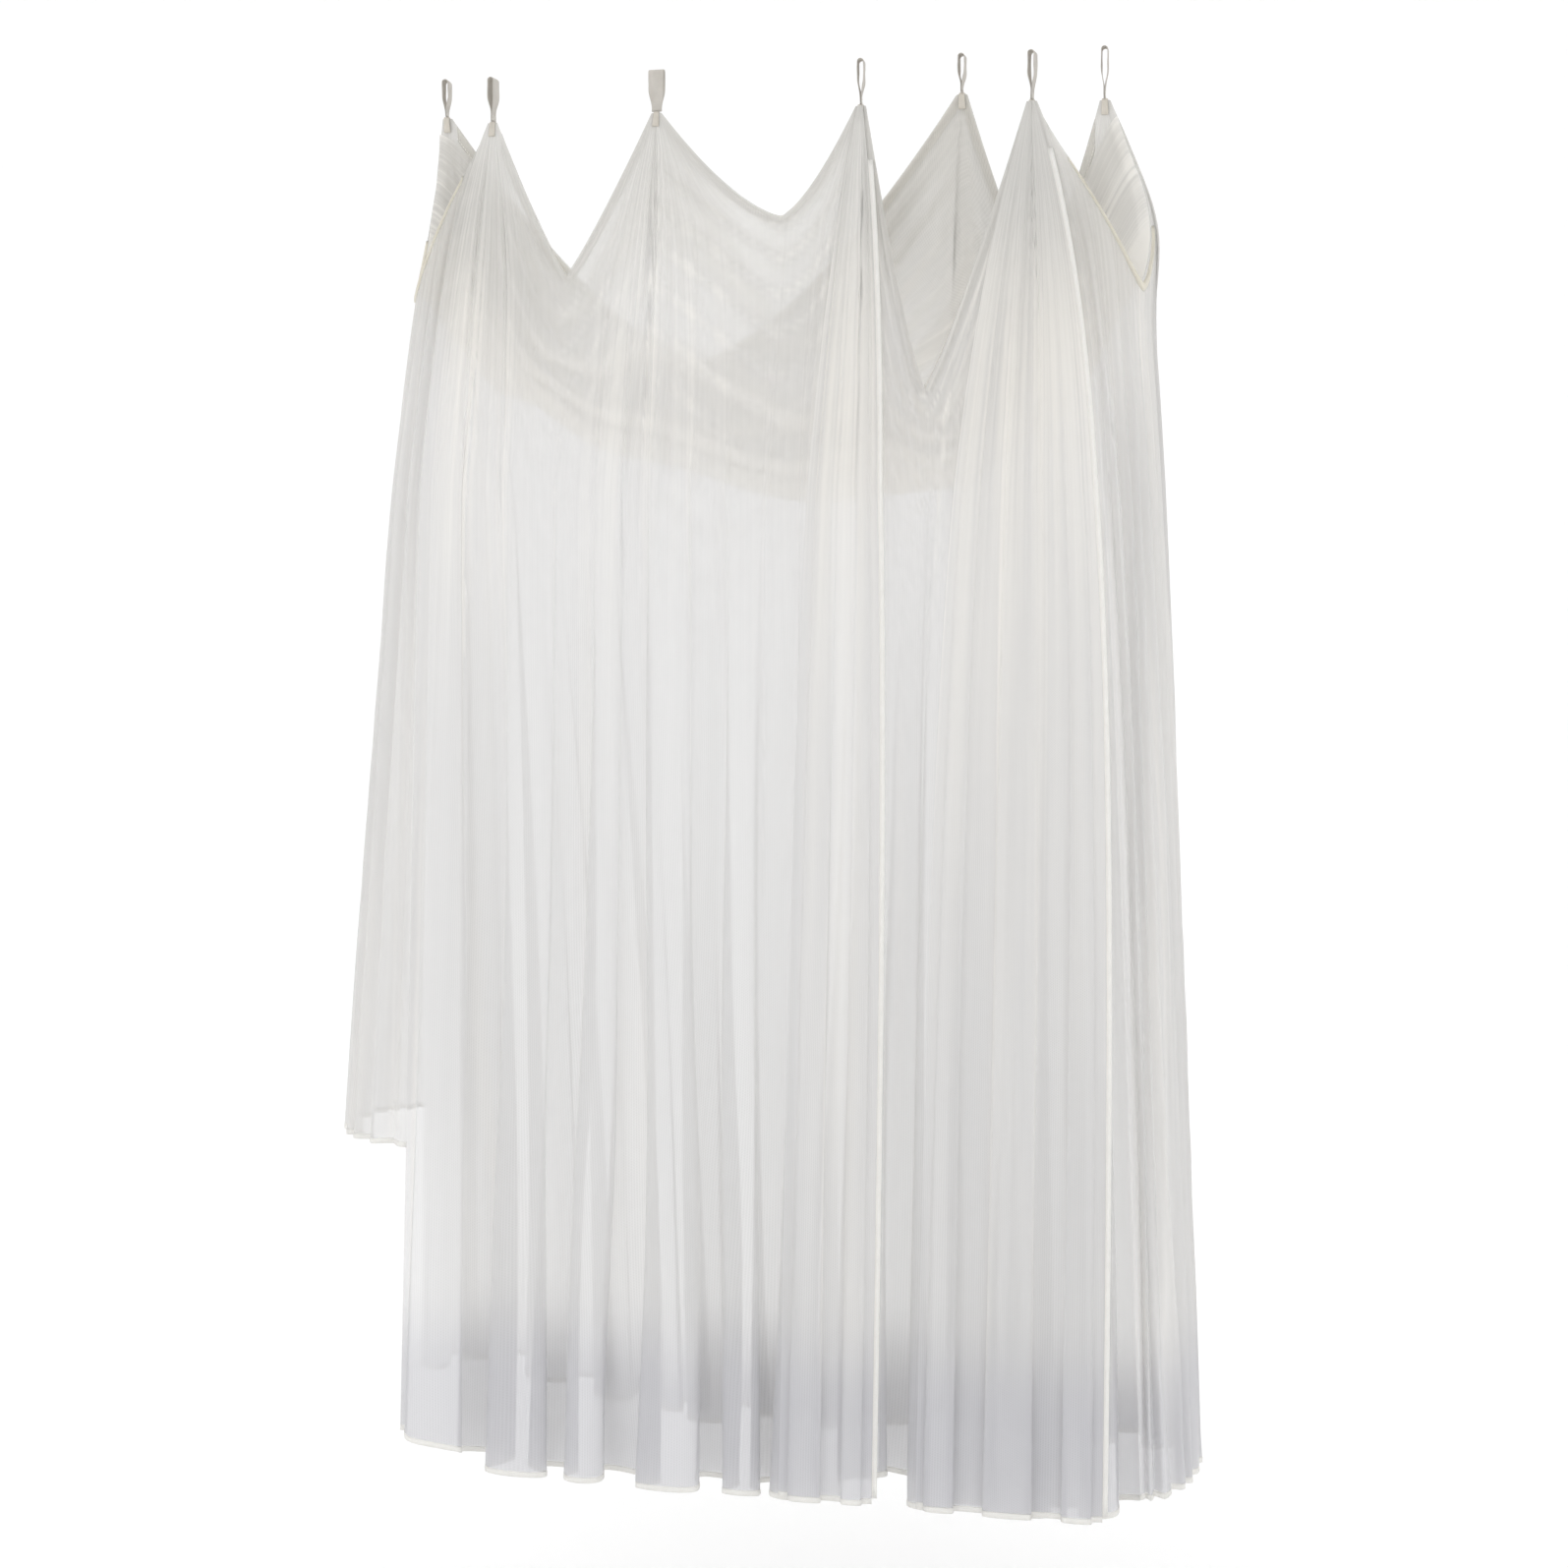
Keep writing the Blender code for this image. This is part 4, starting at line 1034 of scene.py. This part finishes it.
def netting(name, thin, painted_hem_shade, cover, seed, hem_shade_band, dense=LAYERED_LIGHT_TONE, top_shade=TOP_SHADE_TONE, fades=True,
            shine=0.45):
    """Sheer netting, a fine knitted mesh: greyer where it hangs single and milky where gathered as
    painted light and shade of its layers, with painted shade near the loops and above the hem.
    """
    made, maker, across, down = start_material(name)
    gather = maker.make("ShaderNodeAttribute", 2, {"attribute_name": "gather"})
    drawn = maker.make("ShaderNodeAttribute", 2, {"attribute_name": "drawn"})
    # Long soft streaks down the folds, in three widths
    fan_share = down.between(1.0, 0.35) if fades else 1.0
    streak = noise(maker, across * STREAKS, down * 0.7, seed) - 0.5
    broad = noise(maker, across * BROAD_STREAKS, down * 0.8, seed + 3.0) - 0.5
    line = streak * (drawn * fan_share * 1.3 + 0.12)
    ribbon = noise(maker, across * RIBBONS, down * 0.35, seed + 9.0, 1.0).between(0.60, 0.72)
    # The knitted cells
    cell = 2.0 * math.pi / NET_CELL
    first = (across * cell).wave()
    second = (across * (0.5 * cell) + down * (0.866 * cell)).wave()
    third = (across * (0.5 * cell) - down * (0.866 * cell)).wave()
    lattice = (first + second + third).between(-1.1, 1.6)
    # How much of what lies behind it the cloth hides, more in the painted shade band above the hem
    # painted shade: the band above the hem is darker and hides more of what lies behind it
    low = down.between(*hem_shade_band)
    ribbon = ribbon * (drawn + 0.3)
    amount = gather * (line + broad * 0.5 + ribbon * 0.5 + 1.0) + low * 0.3
    through = (1.0 - cover) ** amount * (1.0 - low * 0.35)
    covered = (1.0 - through) * (1.06 - lattice * 0.12)
    covered = covered.maths("MINIMUM", 0.985)
    # Its colour: milky where gathered as painted light of the layers, a darker cream near the loops
    # as painted shade at the top, and a cooler painted shade above the hem
    layered_light = (gather + line * 1.6 + broad * 1.2 + ribbon * 0.7).between(0.9, 2.2)
    # painted shade near the loops, fading out between 0.26 and 0.52 m down
    top_shaded = down.between(*TOP_SHADE_BAND) * (0.97 - line * 1.1)
    top_shaded = top_shaded * (1.0 - layered_light * down.between(0.18, 0.40) * 0.5)
    low = low * (1.0 - layered_light * 0.35)
    colour = low.blend(top_shaded.blend(layered_light.blend(thin, dense), top_shade), painted_hem_shade)
    bump = maker.make("ShaderNodeBump", 0, (), {
        "Strength": 0.12, "Distance": 0.0008, "Height": line * 0.8 - lattice * 0.2})
    front = maker.make("ShaderNodeBsdfPrincipled", 0, (), {
        "Base Color": colour, "Roughness": 0.62, "Sheen Weight": 0.25, "Sheen Roughness": 0.4,
        "Specular IOR Level": 0.25, "Normal": bump})
    behind = maker.make("ShaderNodeBsdfTranslucent", 0, (), {"Color": dense, "Normal": bump})
    glow = (1.0 - top_shaded * 0.75) * (1.0 - low * 0.6) * shine
    cloth = mixed(maker, glow, front, behind)
    clear = maker.make("ShaderNodeBsdfTransparent", 0, (), {"Color": WHITE})
    end_material(maker, mixed(maker, covered, clear, cloth))
    return made


def woven(name, light, dark, thread, roughness, cover=1.0, rib=0.0):
    """Woven tape or folded cloth: threads over and under, with slight soiling."""
    made, maker, across, down = start_material(name)
    step = math.pi / thread
    over = (across * step).maths("SINE") * (down * step).maths("SINE")
    grain = noise(maker, across * 900.0, down * 900.0, 2.0, 3.0)
    stain = noise(maker, across * 45.0, down * 60.0, 5.0, 3.0)
    mark = (stain + over * 0.10 + grain * 0.25).between(0.30, 0.95)
    colour = mark.blend(dark, light)
    height = over * 0.6 + grain * 0.5
    if rib:
        height = height + (across * (2.0 * math.pi / rib)).wave() * 0.5
    bump = maker.make("ShaderNodeBump", 0, (), {
        "Strength": 0.6, "Distance": 0.0005, "Height": height})
    rough = grain * 0.2 + (roughness - 0.1)
    front = maker.make("ShaderNodeBsdfPrincipled", 0, (), {
        "Base Color": colour, "Roughness": rough, "Sheen Weight": 0.2,
        "Specular IOR Level": 0.25, "Normal": bump})
    behind = maker.make("ShaderNodeBsdfTranslucent", 0, (), {"Color": light, "Normal": bump})
    shown = mixed(maker, 0.3, front, behind)
    if cover < 1.0:
        clear = maker.make("ShaderNodeBsdfTransparent", 0, (), {"Color": WHITE})
        shown = mixed(maker, grain * 0.3 + (cover - 0.15), clear, shown)
    end_material(maker, shown)
    return made


def plain(name, colour, roughness):
    made = bpy.data.materials.new(name)
    made.use_nodes = True
    shader = made.node_tree.nodes["Principled BSDF"]
    shader.inputs["Base Color"].default_value = (*colour, 1.0)
    shader.inputs["Roughness"].default_value = roughness
    return made


def finishes():
    """Every material of the net, by the name of what it is on."""
    # Single netting, painted greyer than gathered netting as painted shade of the thin layer
    thin = (0.67, 0.675, 0.695, 1.0)
    return {
        # After the single tone, each netting has its painted shade above the hem and the depths of
        # that band; the roof's band lies below its cloth
        "net": netting("sheer_netting", thin, (0.58, 0.58, 0.61, 1.0), 0.60, 1.0, (1.90, 2.06)),
        "back_net": netting("back_netting", thin, (0.61, 0.61, 0.64, 1.0), 0.60, 1.0,
                            (2.10, 2.22)),
        # The roof's single tone is darker as painted shade under the roof, its gathered tone
        # lighter as painted light
        "roof_net": netting("roof_netting", (0.56, 0.555, 0.54, 1.0), (0.60, 0.60, 0.62, 1.0),
                            0.78, 7.0, (2.3, 2.4), (1.0, 0.985, 0.95, 1.0),
                            (0.62, 0.61, 0.585, 1.0), False, 0.62),
        "hem": woven("folded_hem", (1.0, 0.99, 0.965, 1.0), (0.94, 0.93, 0.90, 1.0), 0.0009, 0.6,
                     0.92),
        "tape": woven("binding_tape", (0.86, 0.84, 0.79, 1.0), (0.80, 0.775, 0.715, 1.0), 0.0011,
                      0.7, 0.42),
        "side_tape": woven("side_binding_tape", (0.98, 0.95, 0.86, 1.0),
                           (0.93, 0.885, 0.76, 1.0), 0.0011, 0.7, 0.85),
        "loop": woven("woven_loop_tape", (0.80, 0.77, 0.72, 1.0), (0.68, 0.65, 0.60, 1.0),
                      0.0009, 0.75, 1.0, 0.0018),
        "patch": woven("tip_cloth", (0.84, 0.80, 0.73, 1.0), (0.72, 0.68, 0.60, 1.0), 0.0010,
                       0.75),
        "thread": plain("sewing_thread", (0.86, 0.85, 0.80), 0.55)}


# Stage

def stage():
    """A pale floor that curves up into the background, even light and three soft lamps."""
    floor_z = cad_box[0][2] - FLOOR_DROP
    mesh = bpy.data.meshes.new("studio_floor")
    radius, bend, around = 9.0, 3.0, 64
    profile = [(0.5, 0.0), (radius, 0.0)]
    profile += [(radius + bend * math.sin(a), bend - bend * math.cos(a))
                for a in np.linspace(0.1, 0.5 * math.pi, 12)]
    profile.append((radius + bend, 9.0))
    points = [(r * math.cos(a), r * math.sin(a), floor_z + z) for r, z in profile
              for a in np.linspace(0.0, 2.0 * math.pi, around, endpoint=False)]
    faces = [(k * around + i, (k + 1) * around + i, (k + 1) * around + (i + 1) % around,
              k * around + (i + 1) % around)
             for k in range(len(profile) - 1) for i in range(around)]
    faces.append(tuple(range(around)))
    mesh.from_pydata(points, [], faces)
    paper = plain("studio_paper", (0.93, 0.93, 0.93), 0.9)
    glow = paper.node_tree.nodes["Principled BSDF"].inputs
    glow["Emission Color"].default_value = WHITE
    glow["Emission Strength"].default_value = PAPER_GLOW
    mesh.materials.append(paper)
    mesh.polygons.foreach_set("use_smooth", [True] * len(mesh.polygons))
    new_object("studio_floor", mesh)
    world = bpy.data.worlds.new("studio_world")
    bpy.context.scene.world = world
    world.use_nodes = True
    back = world.node_tree.nodes["Background"]
    back.inputs["Color"].default_value = WHITE
    back.inputs["Strength"].default_value = 1.0
    for name, place, power in LAMPS:
        light = bpy.data.lights.new(name, "AREA")
        light.size = LAMP_SIZE
        light.energy = power
        lamp = new_object(name, light)
        lamp.location = place
        lamp.visible_camera = False
        lamp.rotation_euler = (LAMP_AIM - Vector(place)).to_track_quat("-Z", "Y").to_euler()


def camera():
    lens = bpy.data.cameras.new("photo_view")
    lens.sensor_width = SENSOR
    lens.lens = FOCAL_LENGTH
    made = new_object("photo_view", lens)
    made.location = CAMERA_PLACE
    made.rotation_euler = (math.radians(90.0 - CAMERA_DOWN), 0.0, math.radians(CAMERA_TURN))
    bpy.context.scene.camera = made


# The net

def dress(piece, node, body):
    """Puts a piece in the place of its node, which it hides, and on its body."""
    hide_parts(node)
    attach(piece, body)
    return piece


def put_hem(net, name, band_name, node, body, lower, seam, finish):
    """A sheet's hem, and the line of its stitches."""
    band, line = hem(band_name, lower, finish["hem"])
    net["hems"][name] = dress(band, node, body)
    net["lines"][body].append([p + seam for p in line])


def put_walls(net, finish):
    front, back = (front_left, front_right), (back_left, back_right)
    for name, node, hem_node, tips, valleys, borders, facing, foot, seed, keep in (
            ("front_wall_left", "front_panel_left", "hem_front_left", FRONT_TIPS, FRONT_VALLEYS,
             front, -1, front_foot, 11, lambda x: x < SLIT_LEFT),
            ("front_wall_right", "front_panel_right", "hem_front_right", FRONT_TIPS,
             FRONT_VALLEYS, front, -1, front_foot, 11, lambda x: x > SLIT_RIGHT),
            ("back_wall", "back_panel", "hem_back", BACK_TIPS, BACK_VALLEYS, back, 1, back_foot,
             31, lambda x: np.isfinite(x))):
        cloth = finish["net" if facing < 0 else "back_net"]
        sheet, lower = wall(name, tips, valleys, borders, facing, foot, cloth, seed, keep)
        net["sheets"][name] = dress(sheet, node, "net")
        put_hem(net, name, name + "_hem", hem_node, "net", lower,
                Vector((0.0, facing * STITCH_OUT, -STITCH_DOWN)), finish)


def left_foot(share):
    return LEFT_WALL_DEPTH + 0.0 * share


def right_foot(share):
    return HEM_DEPTH - rise(front_right(HEM_DEPTH), HEM_RISE) * (1.0 - share)


def put_end_walls(net, finish):
    for name, node, hem_node, left, foot, seed in (
            ("left_wall", "side_panel_left", "hem_side_left", True, left_foot, 51),
            ("right_wall", "side_panel_right", "hem_side_right", False, right_foot, 71)):
        sheet, lower = side_wall(name, left, foot, finish["net"], seed)
        net["sheets"][name] = dress(sheet, node, "net")
        put_hem(net, name, name + "_hem", hem_node, "net", lower,
                Vector((-STITCH_OUT if left else STITCH_OUT, 0.0, -STITCH_DOWN)), finish)


def put_roof(net, finish):
    net["sheets"]["roof"] = dress(roof("roof", finish["roof_net"], 91), "roof_panel", "net")


def put_flaps(net, finish):
    for name, loop, hollows, seed in (("middle_flap", MID_RIGHT, MIDDLE_FLAP_HOLLOWS, 111),
                                      ("corner_flap", FRONT_RIGHT, CORNER_FLAP_HOLLOWS, 131)):
        sheet, lower, border = flap(name + "_sheet", loop, hollows, finish["net"], seed)
        net["sheets"][name] = dress(sheet, name, name)
        put_hem(net, name, name + "_foot", name + "_hem", name, lower,
                Vector((0.0, -STITCH_OUT, -STITCH_DOWN)), finish)
        band, line = free_edge(name + "_border", border, finish["hem"])
        net["free"][name] = dress(band, name + "_free_edge", name)
        net["lines"][name].append([p + Vector((0.0015, -STITCH_OUT, 0.0)) for p in line])


def put_bindings(net, finish):
    inset = 2.0 * TIP_HALF
    for name, node, edge, first, last, facing in (
            ("front_binding", "edge_tape_front", front_edge, FRONT_LEFT, FRONT_RIGHT, -1),
            ("back_binding", "edge_tape_back", back_edge, BACK_LEFT, BACK_RIGHT, 1)):
        band, line = edge_tape(name, edge, LOOP_X[first] + inset, LOOP_X[last] - inset, facing,
                               finish["tape"])
        dress(band, node, "net")
        net["lines"]["net"].append(line)
    for name, node, left in (("left_binding", "edge_tape_left", True),
                             ("right_binding", "edge_tape_right", False)):
        dress(side_tape(name, left, finish["side_tape"]), node, "net")


def put_loops(net, finish):
    for loop in range(len(LOOP_X)):
        made, tack = loop_tape("hanging_loop_%d" % (loop + 1), loop, finish["loop"])
        dress(made, "loop_%d" % (loop + 1), "net")
        net["tacks"].append(tack)
        facing = -1 if loop in FRONT_TIPS else 1
        made = tip_patch("tip_cover_%d" % (loop + 1), loop, facing, finish["patch"])
        dress(made, "tip_patch_%d" % (loop + 1), "net")


def put_stitches(net, finish):
    tree, sockets = stitch_tree(finish["thread"])
    for body, runs in net["lines"].items():
        seam = stitch_runs(body + "_stitches", runs, tree, sockets, HEM_STITCH)
        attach(seam, body)
        net["seams"][body] = seam
    bars = stitch_runs("loop_stitches", net["tacks"], tree, sockets, LOOP_STITCH)
    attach(bars, "net")


def describe_sheets(net):
    """Collects the trim sewn to each sheet of netting, its hem and a flap's free edge and stitches,
    and does nothing more with it.
    """
    for key, piece in net["sheets"].items():
        trim = [net["hems"][key]] if key in net["hems"] else []
        trim += [net["free"][key], net["seams"][key]] if key in net["free"] else []


def main():
    camera()
    stage()
    finish = finishes()
    net = {"sheets": {}, "hems": {}, "free": {}, "seams": {}, "tacks": [],
           "lines": {"net": [], "middle_flap": [], "corner_flap": []}}
    for put in (put_walls, put_end_walls, put_roof, put_flaps, put_bindings, put_loops,
                put_stitches):
        put(net, finish)
    describe_sheets(net)
    scene = bpy.context.scene
    scene.cycles.transparent_max_bounces = 64
    scene.view_settings.view_transform = "Standard"
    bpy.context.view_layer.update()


main()
